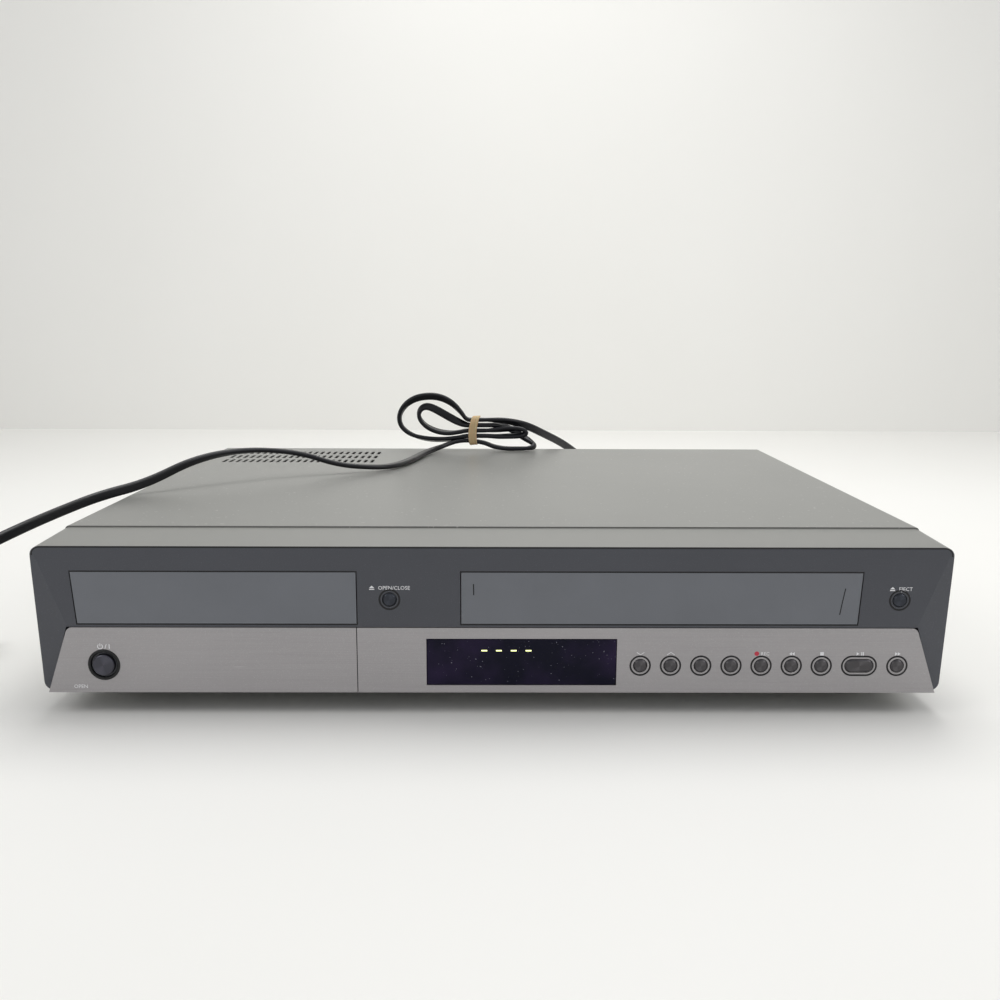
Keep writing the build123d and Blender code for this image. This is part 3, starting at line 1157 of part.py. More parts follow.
with BuildPart() as tray_gear:
    with BuildSketch(Plane(origin=(GEAR_X, GEAR_Y, GEAR_Z[0]))):
        Circle(GEAR_PITCH_RADIUS - TOOTH_DEDENDUM)
        # at rest one tooth points straight at the rack
        with PolarLocations(0, GEAR_TEETH, start_angle=180):
            Polygon(*[(GEAR_PITCH_RADIUS + x, y) for x, y in tooth_outline()], align=None)
        Circle(GEAR_PIN_RADIUS + SHAFT_GAP, mode=Mode.SUBTRACT)
    extrude(amount=GEAR_Z[1] - GEAR_Z[0])
save(tray_gear, "tray_gear")

with BuildPart() as traverse_deck:
    deck_y = (DECK_FRONT_Y, DECK_PIVOT_Y)
    block((TRAY_X - DECK_HALF, TRAY_X + DECK_HALF), deck_y, DECK_Z)
    rod(
        (TRAY_X - DECK_HALF, DECK_PIVOT_Y, DECK_PIVOT_Z),
        (TRAY_X + DECK_HALF, DECK_PIVOT_Y, DECK_PIVOT_Z),
        DECK_PIN_RADIUS + 1.0,
    )
    rod(
        (TRAY_X - DECK_HALF - 5, DECK_PIVOT_Y, DECK_PIVOT_Z),
        (TRAY_X + DECK_HALF + 5, DECK_PIVOT_Y, DECK_PIVOT_Z),
        DECK_PIN_RADIUS,
    )
    # the body of the spindle motor, riveted under the deck
    rod((TRAY_X, DISC_Y, DECK_Z[0] - 6), (TRAY_X, DISC_Y, DECK_Z[0] + 0.2), 13.0)
    rod(
        (TRAY_X, DISC_Y, DECK_Z[0] - 5),
        (TRAY_X, DISC_Y, DECK_Z[1] + 1),
        SPINDLE_RADIUS + SHAFT_GAP,
        mode=Mode.SUBTRACT,
    )
    # the window for the sled and the clips of its rods
    window_y = (SLED_Y[0] - 4, SLED_Y[1] + SLED_TRAVEL + 4)
    block(
        (TRAY_X - SLED_HALF - 1.5, TRAY_X + SLED_HALF + 1.5),
        window_y,
        (DECK_Z[0] - 1, DECK_Z[1] + 1),
        mode=Mode.SUBTRACT,
    )
    for side in (-1, 1):
        rod_x = TRAY_X + side * SLED_ROD_OFFSET
        for clip_y in ((window_y[0] - 4, window_y[0]), (window_y[1], window_y[1] + 4)):
            block((rod_x - 3, rod_x + 3), clip_y, (DECK_Z[1] - 0.2, SLED_ROD_Z + 2.4))
        rod(
            (rod_x, window_y[0] - 3, SLED_ROD_Z),
            (rod_x, window_y[1] + 3, SLED_ROD_Z),
            SLED_ROD_RADIUS,
            mode=Mode.SUBTRACT,
        )
save(traverse_deck, "traverse_deck")

with BuildPart() as sled_rods:
    for side in (-1, 1):
        rod_x = TRAY_X + side * SLED_ROD_OFFSET
        rod_start = (rod_x, window_y[0] - 3, SLED_ROD_Z)
        rod(rod_start, (rod_x, window_y[1] + 3, SLED_ROD_Z), SLED_ROD_RADIUS)
save(sled_rods, "sled_rods")

with BuildPart() as pickup_sled:
    block((TRAY_X - SLED_HALF, TRAY_X + SLED_HALF), SLED_Y, (SLED_ROD_Z - 3.9, SLED_ROD_Z + 2.0))
    lens_y = SLED_Y[0] + 8
    block((TRAY_X - 11, TRAY_X + 11), (lens_y - 6, lens_y + 6), (SLED_ROD_Z + 1.8, SLED_ROD_Z + 3.4))
    rod((TRAY_X, lens_y, SLED_ROD_Z + 3.2), (TRAY_X, lens_y, SLED_ROD_Z + 4.2), 3.2)
    for side in (-1, 1):
        rod_x = TRAY_X + side * SLED_ROD_OFFSET
        rod(
            (rod_x, SLED_Y[0] - 1, SLED_ROD_Z),
            (rod_x, SLED_Y[1] + 1, SLED_ROD_Z),
            SLED_ROD_RADIUS + SHAFT_GAP,
            mode=Mode.SUBTRACT,
        )
save(pickup_sled, "pickup_sled")

with BuildPart() as turntable:
    rod((TRAY_X, DISC_Y, TURNTABLE_Z[0]), (TRAY_X, DISC_Y, TURNTABLE_Z[1]), TURNTABLE_RADIUS)
    rod((TRAY_X, DISC_Y, TURNTABLE_Z[1] - 0.2), (TRAY_X, DISC_Y, TURNTABLE_Z[1] + 1.2), 7.3)
    chamfer(turntable.edges().group_by(Axis.Z)[-1], 0.8)
    rod((TRAY_X, DISC_Y, DECK_Z[0] - 4.8), (TRAY_X, DISC_Y, TURNTABLE_Z[0] + 0.2), SPINDLE_RADIUS)
    rod((TRAY_X, DISC_Y, DECK_Z[1] + RUN_GAP), (TRAY_X, DISC_Y, TURNTABLE_Z[0] + 0.2), 4.0)
save(turntable, "turntable")

with BuildPart() as clamp_bridge:
    bridge_y = (DISC_Y - 22.0, DISC_Y + 22.0)
    block((TRAY_X - outer_half, TRAY_X + outer_half), bridge_y, BRIDGE_Z)
    for rib_y in (bridge_y[0], bridge_y[1] - 1.5):
        block(
            (TRAY_X - outer_half + 6, TRAY_X + outer_half - 6),
            (rib_y, rib_y + 1.5),
            (BRIDGE_Z[0], BRIDGE_Z[1] + 4),
        )
    rod(
        (TRAY_X, DISC_Y, BRIDGE_Z[0] - 1),
        (TRAY_X, DISC_Y, BRIDGE_Z[1] + 1),
        CLAMP_HOLE_RADIUS,
        mode=Mode.SUBTRACT,
    )
save(clamp_bridge, "clamp_bridge")

with BuildPart() as clamp_puck:
    puck_top = BRIDGE_Z[1] + RUN_GAP
    rod((TRAY_X, DISC_Y, puck_top), (TRAY_X, DISC_Y, puck_top + 2), CLAMP_HOLE_RADIUS + 3)
    rod((TRAY_X, DISC_Y, 56.6), (TRAY_X, DISC_Y, puck_top + 0.2), CLAMP_HOLE_RADIUS - 1)
    rod((TRAY_X, DISC_Y, 56.0), (TRAY_X, DISC_Y, 57.8), 7.8, mode=Mode.SUBTRACT)
save(clamp_puck, "clamp_puck")

# ---------------------------------------------------------------- cassette deck
CASSETTE_X = (CASSETTE_DOOR_LEFT_X + CASSETTE_DOOR_RIGHT_TOP_X) / 2 - 0.45  # middle of its bay
BAY_HALF = 94.8
HOLDER_SHEET = 1.0
HOLDER_Y = (FRONT_Y + 14.0, FRONT_Y + 120.0)
HOLDER_FLOOR_Z = (44.0, 45.0)
HOLDER_TOP_Z = (73.4, 74.2)
HOLDER_RAIL = 9.0
HOLDER_PIN_Y = (FRONT_Y + 62.0, FRONT_Y + 98.0)
HOLDER_PIN_Z = 66.0
HOLDER_DROP = 14.0
CARRIAGE_TRAVEL = 45.0
PIN_RADIUS = 1.5
DECK_PLATE_Z = (22.0, 23.6)
DECK_PLATE_HALF = 102.0
DECK_PLATE_Y = (FRONT_Y + 24.0, FRONT_Y + 248.0)
SLIDE_INNER_HALF = BAY_HALF + HOLDER_SHEET + 0.8
SLIDE_SHEET = 1.0
BRACKET_INNER_HALF = SLIDE_INNER_HALF + SLIDE_SHEET + 1.0
BRACKET_SHEET = 1.2
SLIDE_PIN_Y = (FRONT_Y + 60.0, FRONT_Y + 100.0)
SLIDE_PIN_Z = 74.0
SLIDE_TOP_Z = 79.0
REEL_Y = FRONT_Y + 110.0
REEL_SPACING = 92.0
REEL_RADIUS = 21.0
REEL_PIN_RADIUS = 2.0
REEL_TOP_Z = 41.0
DRUM_Y = FRONT_Y + 207.0
DRUM_RADIUS = 31.0
DRUM_TILT = 5.7
DRUM_BASE_HEIGHT = 15.0
DRUM_UPPER_HEIGHT = 17.0
DRUM_SHAFT_RADIUS = 3.0
DRUM_DISH_RADIUS = 24.0
CAPSTAN_X = CASSETTE_X + 59.7
CAPSTAN_Y = FRONT_Y + 182.0
CAPSTAN_RADIUS = 1.5
CAPSTAN_HUB_RADIUS = 6.0
FLYWHEEL_RADIUS = 28.0
FLYWHEEL_Z = (12.5, 19.5)
ARM_PIVOT_X = CASSETTE_X + 79.7
ARM_PIVOT_Y = FRONT_Y + 196.0
ARM_SWING = 30.0
ROLLER_RADIUS = 7.0
ROLLER_TOP_Z = 45.0
ARM_PIN_RADIUS = 2.0
ARM_Z = (30.4, 32.4)
GUIDE_OFFSET = 42.5
GUIDE_Y = FRONT_Y + 178.0
GUIDE_TRAVEL = 28.0
GUIDE_FOOT_RADIUS = 2.3

deck_top = DECK_PLATE_Z[1]
drum_axis = Vector(-sin(radians(DRUM_TILT)), 0, cos(radians(DRUM_TILT)))
drum_origin = Vector(CASSETTE_X, DRUM_Y, deck_top)


def on_drum(height):
    """A point on the tilted axis of the head drum."""
    point = drum_origin + drum_axis * height
    return (point.X, point.Y, point.Z)


with BuildPart() as deck_plate:
    block((CASSETTE_X - DECK_PLATE_HALF, CASSETTE_X + DECK_PLATE_HALF), DECK_PLATE_Y, DECK_PLATE_Z)
    for side in (-1, 1):
        inner = CASSETTE_X + side * BRACKET_INNER_HALF
        span = sorted((inner, inner + side * BRACKET_SHEET))
        block(span, (DECK_PLATE_Y[0], FRONT_Y + 165.0), (DECK_PLATE_Z[0], SLIDE_TOP_Z))
        # the slot in which the carriage's pins run
        block(
            (span[0] - 1, span[1] + 1),
            (
                SLIDE_PIN_Y[0] - PIN_RADIUS - RUN_GAP,
                SLIDE_PIN_Y[1] + CARRIAGE_TRAVEL + PIN_RADIUS + RUN_GAP,
            ),
            (SLIDE_PIN_Z - PIN_RADIUS - 0.1, SLIDE_PIN_Z + PIN_RADIUS + 0.1),
            mode=Mode.SUBTRACT,
        )
        # legs to the floor of the case
        for leg_y in (SEAM_Y + 6, DECK_PLATE_Y[1] - 8):
            leg_x = CASSETTE_X + side * (DECK_PLATE_HALF - 6)
            rod((leg_x, leg_y, FLOOR_Z), (leg_x, leg_y, DECK_PLATE_Z[0] + 0.3), 3.5)
        # the slot of a tape guide
        slot_x = CASSETTE_X + side * GUIDE_OFFSET
        foot_half = GUIDE_FOOT_RADIUS + 0.1
        block(
            (slot_x - foot_half, slot_x + foot_half),
            (GUIDE_Y - foot_half - 0.2, GUIDE_Y + GUIDE_TRAVEL + foot_half + 0.2),
            (DECK_PLATE_Z[0] - 1, deck_top + 1),
            mode=Mode.SUBTRACT,
        )
        # a fixed guide post and the pin of a reel table
        post_x = CASSETTE_X + side * 70
        rod((post_x, FRONT_Y + 173, deck_top - 0.3), (post_x, FRONT_Y + 173, 46.0), 2.0)
        reel_x = CASSETTE_X + side * REEL_SPACING / 2
        rod((reel_x, REEL_Y, deck_top - 0.3), (reel_x, REEL_Y, 40.0), REEL_PIN_RADIUS)
    # the bearing tube of the capstan and the pin of the pinch arm
    rod((CAPSTAN_X, CAPSTAN_Y, deck_top - 0.3), (CAPSTAN_X, CAPSTAN_Y, 29.6), 4.0)
    rod(
        (CAPSTAN_X, CAPSTAN_Y, DECK_PLATE_Z[0] - 1),
        (CAPSTAN_X, CAPSTAN_Y, 30.0),
        CAPSTAN_RADIUS + SHAFT_GAP,
        mode=Mode.SUBTRACT,
    )
    arm_foot = (ARM_PIVOT_X, ARM_PIVOT_Y, deck_top - 0.3)
    rod(arm_foot, (ARM_PIVOT_X, ARM_PIVOT_Y, ARM_Z[0] - RUN_GAP), 2 * ARM_PIN_RADIUS)
    rod(arm_foot, (ARM_PIVOT_X, ARM_PIVOT_Y, ARM_Z[1] + 3.6), ARM_PIN_RADIUS)
save(deck_plate, "deck_plate")

with BuildPart() as drum_base:
    rod(on_drum(-5), on_drum(DRUM_BASE_HEIGHT), DRUM_RADIUS)
    rod(on_drum(-5), on_drum(DRUM_BASE_HEIGHT + DRUM_UPPER_HEIGHT - 3), DRUM_SHAFT_RADIUS)
    split(bisect_by=Plane.XY.offset(deck_top), keep=Keep.TOP)
    block((CASSETTE_X - 20, CASSETTE_X + 20), (DRUM_Y + 26, DRUM_Y + 40), (deck_top, deck_top + 6))
save(drum_base, "drum_base")

with BuildPart() as head_drum:
    upper_start = DRUM_BASE_HEIGHT + RUN_GAP
    upper_end = upper_start + DRUM_UPPER_HEIGHT
    rod(on_drum(upper_start), on_drum(upper_end), DRUM_RADIUS)
    rod(on_drum(upper_end - 2), on_drum(upper_end + 1), DRUM_DISH_RADIUS, mode=Mode.SUBTRACT)
    shaft_bore = DRUM_SHAFT_RADIUS + SHAFT_GAP
    rod(on_drum(upper_start - 1), on_drum(upper_end), shaft_bore, mode=Mode.SUBTRACT)
save(head_drum, "head_drum")

for name, side in (("supply_reel", -1), ("takeup_reel", 1)):
    reel_x = CASSETTE_X + side * REEL_SPACING / 2
    with BuildPart() as reel:
        base_z = deck_top + RUN_GAP
        rod((reel_x, REEL_Y, base_z), (reel_x, REEL_Y, base_z + 3), REEL_RADIUS)
        rod((reel_x, REEL_Y, base_z + 2.8), (reel_x, REEL_Y, base_z + 6), 12.0)
        rod((reel_x, REEL_Y, base_z + 5.8), (reel_x, REEL_Y, REEL_TOP_Z), 4.2)
        with BuildSketch(Plane(origin=(reel_x, REEL_Y, base_z + 5.8))):
            with PolarLocations(5.0, 3):
                Rectangle(4.0, 2.0)
        extrude(amount=REEL_TOP_Z - base_z - 8)
        over_reel = (reel_x, REEL_Y, REEL_TOP_Z + 1)
        rod((reel_x, REEL_Y, base_z - 1), over_reel, REEL_PIN_RADIUS + SHAFT_GAP, mode=Mode.SUBTRACT)
    save(reel, name)

with BuildPart() as capstan_rotor:
    rod((CAPSTAN_X, CAPSTAN_Y, FLYWHEEL_Z[0]), (CAPSTAN_X, CAPSTAN_Y, FLYWHEEL_Z[1]), FLYWHEEL_RADIUS)
    hub_foot = (CAPSTAN_X, CAPSTAN_Y, FLYWHEEL_Z[1] - 0.2)
    rod(hub_foot, (CAPSTAN_X, CAPSTAN_Y, DECK_PLATE_Z[0] - RUN_GAP), CAPSTAN_HUB_RADIUS)
    rod((CAPSTAN_X, CAPSTAN_Y, FLYWHEEL_Z[0]), (CAPSTAN_X, CAPSTAN_Y, 50.0), CAPSTAN_RADIUS)
save(capstan_rotor, "capstan_rotor")

pivot_to_capstan = Vector(CAPSTAN_X - ARM_PIVOT_X, CAPSTAN_Y - ARM_PIVOT_Y)
arm_length = pivot_to_capstan.length - ROLLER_RADIUS - CAPSTAN_RADIUS - RUN_GAP
arm_angle = degrees(atan2(pivot_to_capstan.Y, pivot_to_capstan.X)) - ARM_SWING
roller_x = ARM_PIVOT_X + arm_length * cos(radians(arm_angle))
roller_y = ARM_PIVOT_Y + arm_length * sin(radians(arm_angle))
with BuildPart() as pinch_arm:
    with BuildSketch(Plane.XY.offset(ARM_Z[0])):
        with Locations(((ARM_PIVOT_X + roller_x) / 2, (ARM_PIVOT_Y + roller_y) / 2)):
            SlotCenterToCenter(arm_length, 9.0, rotation=arm_angle)
    extrude(amount=ARM_Z[1] - ARM_Z[0])
    rod((ARM_PIVOT_X, ARM_PIVOT_Y, ARM_Z[0]), (ARM_PIVOT_X, ARM_PIVOT_Y, ARM_Z[1] + 2.5), 4.2)
    rod(
        (ARM_PIVOT_X, ARM_PIVOT_Y, ARM_Z[0] - 1),
        (ARM_PIVOT_X, ARM_PIVOT_Y, ARM_Z[1] + 4),
        ARM_PIN_RADIUS + SHAFT_GAP,
        mode=Mode.SUBTRACT,
    )
    rod((roller_x, roller_y, ARM_Z[0] + 0.5), (roller_x, roller_y, ROLLER_TOP_Z + 1), PIN_RADIUS)
save(pinch_arm, "pinch_arm")

with BuildPart() as pinch_roller:
    roller_top = (roller_x, roller_y, ROLLER_TOP_Z)
    rod((roller_x, roller_y, ARM_Z[1] + RUN_GAP), roller_top, ROLLER_RADIUS)
    rod((roller_x, roller_y, ARM_Z[1] - 1), roller_top, PIN_RADIUS + SHAFT_GAP, mode=Mode.SUBTRACT)
save(pinch_roller, "pinch_roller")

for name, side in (("left_guide", -1), ("right_guide", 1)):
    guide_x = CASSETTE_X + side * GUIDE_OFFSET
    with BuildPart() as guide:
        block((guide_x - 6, guide_x + 6), (GUIDE_Y - 6, GUIDE_Y + 6), (deck_top + RUN_GAP, deck_top + 4))
        rod((guide_x, GUIDE_Y, DECK_PLATE_Z[0]), (guide_x, GUIDE_Y, deck_top + 1), GUIDE_FOOT_RADIUS)
        rod((guide_x, GUIDE_Y, deck_top + 3.8), (guide_x, GUIDE_Y, 50.0), 2.5)
        rod((guide_x, GUIDE_Y, 46.5), (guide_x, GUIDE_Y, 48.0), 4.0)
        rod((guide_x, GUIDE_Y, deck_top + 3.8), (guide_x, GUIDE_Y, 30.0), 4.0)
    save(guide, name)

with BuildPart() as carriage_slide:
    for side in (-1, 1):
        inner = CASSETTE_X + side * SLIDE_INNER_HALF
        span = sorted((inner, inner + side * SLIDE_SHEET))
        block(span, (FRONT_Y + 50.0, FRONT_Y + 112.0), (HOLDER_FLOOR_Z[0], SLIDE_TOP_Z))
        for pin_y in HOLDER_PIN_Y:
            slot_y = (pin_y - PIN_RADIUS - 0.1, pin_y + PIN_RADIUS + 0.1)
            slot_end = PIN_RADIUS + RUN_GAP
            slot_z = (HOLDER_PIN_Z - HOLDER_DROP - slot_end, HOLDER_PIN_Z + slot_end)
            block((span[0] - 1, span[1] + 1), slot_y, slot_z, mode=Mode.SUBTRACT)
        for pin_y in SLIDE_PIN_Y:
            pin_start = (inner, pin_y, SLIDE_PIN_Z)
            pin_reach = BRACKET_INNER_HALF + BRACKET_SHEET + 1
            rod(pin_start, (CASSETTE_X + side * pin_reach, pin_y, SLIDE_PIN_Z), PIN_RADIUS)
    block(
        (CASSETTE_X - SLIDE_INNER_HALF - 0.5, CASSETTE_X + SLIDE_INNER_HALF + 0.5),
        (FRONT_Y + 82.0, FRONT_Y + 106.0),
        (SLIDE_TOP_Z - SLIDE_SHEET, SLIDE_TOP_Z),
    )
save(carriage_slide, "carriage_slide")

with BuildPart() as cassette_holder:
    for side in (-1, 1):
        inner = CASSETTE_X + side * BAY_HALF
        span = sorted((inner, inner + side * HOLDER_SHEET))
        block(span, HOLDER_Y, (HOLDER_FLOOR_Z[0], HOLDER_TOP_Z[1]))
        rail = sorted((inner + side * 0.5, inner - side * HOLDER_RAIL))
        block(rail, HOLDER_Y, HOLDER_FLOOR_Z)
        for pin_y in HOLDER_PIN_Y:
            rod(
                (inner + side * 0.5, pin_y, HOLDER_PIN_Z),
                (CASSETTE_X + side * (SLIDE_INNER_HALF + SLIDE_SHEET + 0.5), pin_y, HOLDER_PIN_Z),
                PIN_RADIUS,
            )
        # a stop at the rear for the cassette
        stop = sorted((inner + side * 0.5, inner - side * 14))
        block(stop, (HOLDER_Y[1] - 1, HOLDER_Y[1]), (HOLDER_FLOOR_Z[0], HOLDER_TOP_Z[1]))
    block(
        (CASSETTE_X - BAY_HALF - 0.5, CASSETTE_X + BAY_HALF + 0.5),
        (HOLDER_Y[0] + 10, HOLDER_Y[1]),
        HOLDER_TOP_Z,
    )
    block(
        (CASSETTE_X - 60, CASSETTE_X + 60),
        (HOLDER_Y[0] + 30, HOLDER_Y[1] - 24),
        (HOLDER_TOP_Z[0] - 1, HOLDER_TOP_Z[1] + 1),
        mode=Mode.SUBTRACT,
    )
save(cassette_holder, "cassette_holder")

# ---------------------------------------------------------------- mains lead
CORD_RADIUS = 2.45             # a round tube of about the flat lead's section
GLAND_LENGTH = 24.0
HANK_Y = REAR_Y - 12.0
HANK_Z = COVER_TOP_Z + 16.0
HANK_TIE_X = -15.0
TIE_WIDTH = 7.0
TIE_THICKNESS = 1.2
STRAND_PITCH = 5.5             # between the strands at the tie
WAIST_HALF = 10.0              # straight part of each strand, each side of the tie's middle
SWING_RADIUS = 40.0            # of the middle strand, where the left loops leave the waist
SWING = 18.0                   # the left loops rise by this angle
BIGHT_REACH = 25.0             # of the right bights' straights beyond the waist
PLUG_X = -296.0
PLUG_Y = FRONT_Y + 52.0
PLUG_Z = 7.5

with BuildPart() as cord_gland:
    for start_y, end_y, gland_radius in (
        (REAR_PANEL_BACK_Y - 2, REAR_PANEL_BACK_Y, GLAND_RADIUS + 1.2),
        (REAR_PANEL_BACK_Y - 0.5, REAR_PANEL_Y + 0.5, GLAND_RADIUS - 0.1),
        (REAR_PANEL_Y, REAR_PANEL_Y + 2, GLAND_RADIUS + 1.5),
    ):
        rod((GLAND_X, start_y, GLAND_Z), (GLAND_X, end_y, GLAND_Z), gland_radius)
    with Locations(Plane(origin=(GLAND_X, REAR_PANEL_Y + 2, GLAND_Z), z_dir=(0, 1, 0))):
        Cone(
            GLAND_RADIUS,
            CORD_RADIUS + 0.7,
            GLAND_LENGTH - 2,
            align=(Align.CENTER, Align.CENTER, Align.MIN),
        )
save(cord_gland, "cord_gland")


def corner_radii(points):
    """The radius of the arc at each corner of a route, from its two runs and its turn."""
    radii = []
    for before, here, after in zip(points, points[1:], points[2:]):
        arriving = Vector(*here) - Vector(*before)
        leaving = Vector(*after) - Vector(*here)
        half_turn = radians(arriving.get_angle(leaving)) / 2
        radii.append(0.45 * min(arriving.length, leaving.length) / tan(half_turn))
    return radii


def lead_tube(points):
    """A round tube along straight runs that are joined by tangent arcs."""
    radii = corner_radii(points)
    with BuildPart() as tube:
        with BuildLine() as route:
            FilletPolyline(*points, radius=radii)
        path = route.wire()
        with BuildSketch(Plane(origin=path @ 0, z_dir=path % 0)):
            Circle(CORD_RADIUS)
        sweep(path=path)
    expected = pi * CORD_RADIUS**2 * path.length
    print("tube length", round(path.length, 1), "volume ratio", round(tube.part.volume / expected, 4))
    print("radii", [round(radius, 1) for radius in radii])
    return tube


LEAD_ROUTE = [
    (GLAND_X, REAR_PANEL_Y + GLAND_LENGTH, GLAND_Z),
    (GLAND_X, REAR_Y + 40.0, GLAND_Z),
    (106.0, REAR_Y + 57.0, 36.0),
    (96.0, REAR_Y + 66.0, 50.0),
    (83.0, REAR_Y + 62.0, 66.0),
    (69.0, REAR_Y + 46.0, 79.0),
    (55.0, REAR_Y + 28.0, 90.5),
    (41.0, REAR_Y + 10.0, 100.5),
    (25.0, REAR_Y - 5.0, 109.0),
    (9.0, HANK_Y, HANK_Z + 2 * STRAND_PITCH),
    (HANK_TIE_X + WAIST_HALF, HANK_Y, HANK_Z + 2 * STRAND_PITCH),
]
save(lead_tube(LEAD_ROUTE), "cord_lead")


def left_loop(leaving, returning, straight, radius):
    """An open loop to the left of the tie, out along one strand and back along another.

    Strands are counted up from the middle one. The loop rises from the waist, flares out,
    turns back and closes up again in the same way.
    """
    turn = 1 if leaving > returning else -1
    half_gap = abs(leaving - returning) / 2 * STRAND_PITCH
    flare = degrees(acos((half_gap + radius) / (2 * radius)))
    return [
        (None, 2 * WAIST_HALF),
        (SWING_RADIUS - leaving * STRAND_PITCH, -SWING),
        (None, straight),
        (radius, -turn * flare),
        (radius, turn * (180 + 2 * flare)),
        (radius, -turn * flare),
        (None, straight),
        (SWING_RADIUS - returning * STRAND_PITCH, SWING),
    ]


def right_bight(leaving, returning):
    """A close bight to the right of the tie, a half turn from one strand to another."""
    turn = 180 if returning > leaving else -180
    half_gap = abs(leaving - returning) / 2 * STRAND_PITCH
    return [(None, 2 * WAIST_HALF + BIGHT_REACH), (half_gap, turn), (None, BIGHT_REACH)]


HANK_STEPS = (
    left_loop(2, -1, 1.3, 16.0)
    + right_bight(-1, 0)
    + left_loop(0, 1, 6.5, 7.8)
    + right_bight(1, -2)
    + [(None, 2 * WAIST_HALF)]
)

with BuildPart() as cord_hank:
    with BuildLine(facing_front(HANK_Y)) as hank_route:
        pen = (HANK_TIE_X + WAIST_HALF, HANK_Z + 2 * STRAND_PITCH)
        heading = 180.0
        for bend_radius, amount in HANK_STEPS:
            direction = (cos(radians(heading)), sin(radians(heading)))
            if bend_radius is None:
                step = Line(pen, (pen[0] + amount * direction[0], pen[1] + amount * direction[1]))
                pen = (pen[0] + amount * direction[0], pen[1] + amount * direction[1])
            else:
                step = JernArc(pen, direction, bend_radius, amount)
                side = 1 if amount > 0 else -1
                centre = (
                    pen[0] - side * bend_radius * direction[1],
                    pen[1] + side * bend_radius * direction[0],
                )
                swing = radians(amount)
                arm = (pen[0] - centre[0], pen[1] - centre[1])
                pen = (
                    centre[0] + arm[0] * cos(swing) - arm[1] * sin(swing),
                    centre[1] + arm[0] * sin(swing) + arm[1] * cos(swing),
                )
                heading += amount
    hank_path = hank_route.wire()
    with BuildSketch(Plane(origin=hank_path @ 0, z_dir=hank_path % 0)):
        Circle(CORD_RADIUS)
    sweep(path=hank_path)
save(cord_hank, "cord_hank")
print("hank length", round(hank_path.length, 1), "ends at", [round(value, 2) for value in pen])
print("hank volume ratio", round(cord_hank.part.volume / (pi * CORD_RADIUS**2 * hank_path.length), 4))


def least_self_gap(wire, radius, spacing=1.0):
    """The least gap between parts of a tube that lie more than three turns of its radius apart."""
    count = int(wire.length / spacing)
    points = [wire @ (index / count) for index in range(count + 1)]
    skip = ceil(6 * radius / spacing)
    least = 1e9
    for index, point in enumerate(points):
        for other in points[index + skip :]:
            least = min(least, (point - other).length)
    return least - 2 * radius


print("hank least gap to itself", round(least_self_gap(hank_path, CORD_RADIUS), 2))

with BuildPart() as cord_tie:
    tie_plane = Plane(origin=(HANK_TIE_X - TIE_WIDTH / 2, HANK_Y, HANK_Z), x_dir=(0, 1, 0), z_dir=(1, 0, 0))
    stack_height = 4 * STRAND_PITCH + 2 * (CORD_RADIUS + 0.2)
    stack_width = 2 * (CORD_RADIUS + 0.2)
    with BuildSketch(tie_plane):
        SlotOverall(stack_height + 2 * TIE_THICKNESS, stack_width + 2 * TIE_THICKNESS, rotation=90)
        SlotOverall(stack_height, stack_width, rotation=90, mode=Mode.SUBTRACT)
    extrude(amount=TIE_WIDTH)
save(cord_tie, "cord_tie")

RUN_ROUTE = [
    (HANK_TIE_X - WAIST_HALF, HANK_Y, HANK_Z - 2 * STRAND_PITCH),
    (-39.0, HANK_Y, HANK_Z - 2 * STRAND_PITCH),
    (-52.0, HANK_Y - 7.0, 88.5),
    (-59.5, HANK_Y - 20.0, 87.5),
    (-62.0, HANK_Y - 46.0, 87.0),
    (-66.0, FRONT_Y + 245.0, 87.0),
    (-77.0, FRONT_Y + 219.0, 87.0),
    (-104.0, FRONT_Y + 206.0, 90.0),
    (-127.0, FRONT_Y + 196.0, 99.5),
    (-156.0, FRONT_Y + 178.0, 104.0),
    (-182.0, FRONT_Y + 153.0, 101.5),
    (-205.0, FRONT_Y + 129.0, 89.2),
    (-224.0, FRONT_Y + 108.0, 85.6),
    (-233.0, FRONT_Y + 76.0, 83.0),
    (-239.0, FRONT_Y + 42.0, 81.0),
    (-248.0, FRONT_Y + 8.0, 76.0),
    (-258.0, FRONT_Y - 16.0, 58.0),
    (-266.0, FRONT_Y - 24.0, 32.0),
    (-272.0, FRONT_Y - 14.0, 9.5),
    (-283.0, FRONT_Y + 8.0, 3.6),
    (PLUG_X, FRONT_Y + 34.0, PLUG_Z),
    (PLUG_X, PLUG_Y, PLUG_Z),
]
save(lead_tube(RUN_ROUTE), "cord_run")

with BuildPart() as cord_plug:
    nose_plane = Plane(origin=(PLUG_X, PLUG_Y, PLUG_Z), x_dir=(1, 0, 0), z_dir=(0, 1, 0))
    with BuildSketch(nose_plane):
        Circle(CORD_RADIUS + 1.0)
    with BuildSketch(nose_plane.offset(14.0)):
        RectangleRounded(15.0, 11.0, 3.0)
    loft()
    with BuildSketch(nose_plane.offset(14.0)):
        RectangleRounded(24.0, 14.0, 4.0)
    extrude(amount=16.0)
    for blade_x in (-6.35, 6.35):
        block(
            (PLUG_X + blade_x - 0.75, PLUG_X + blade_x + 0.75),
            (PLUG_Y + 29.5, PLUG_Y + 47.0),
            (PLUG_Z - 3.2, PLUG_Z + 3.2),
        )
save(cord_plug, "cord_plug")
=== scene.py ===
"""A disc and cassette combination player on a pale table, with its mains lead tied in a hank.

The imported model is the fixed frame. Each class below dresses one sub-assembly of the player: it
builds the pieces that the frame leaves to the looks, rides them on the frame's bodies and gives
every surface its finish. Lengths are metres unless a name says millimetres.
"""

import logging
import math
from dataclasses import dataclass
from enum import Enum
from functools import cached_property
from typing import Iterable, Sequence

import bmesh
import bpy
from mathutils import Matrix, Vector


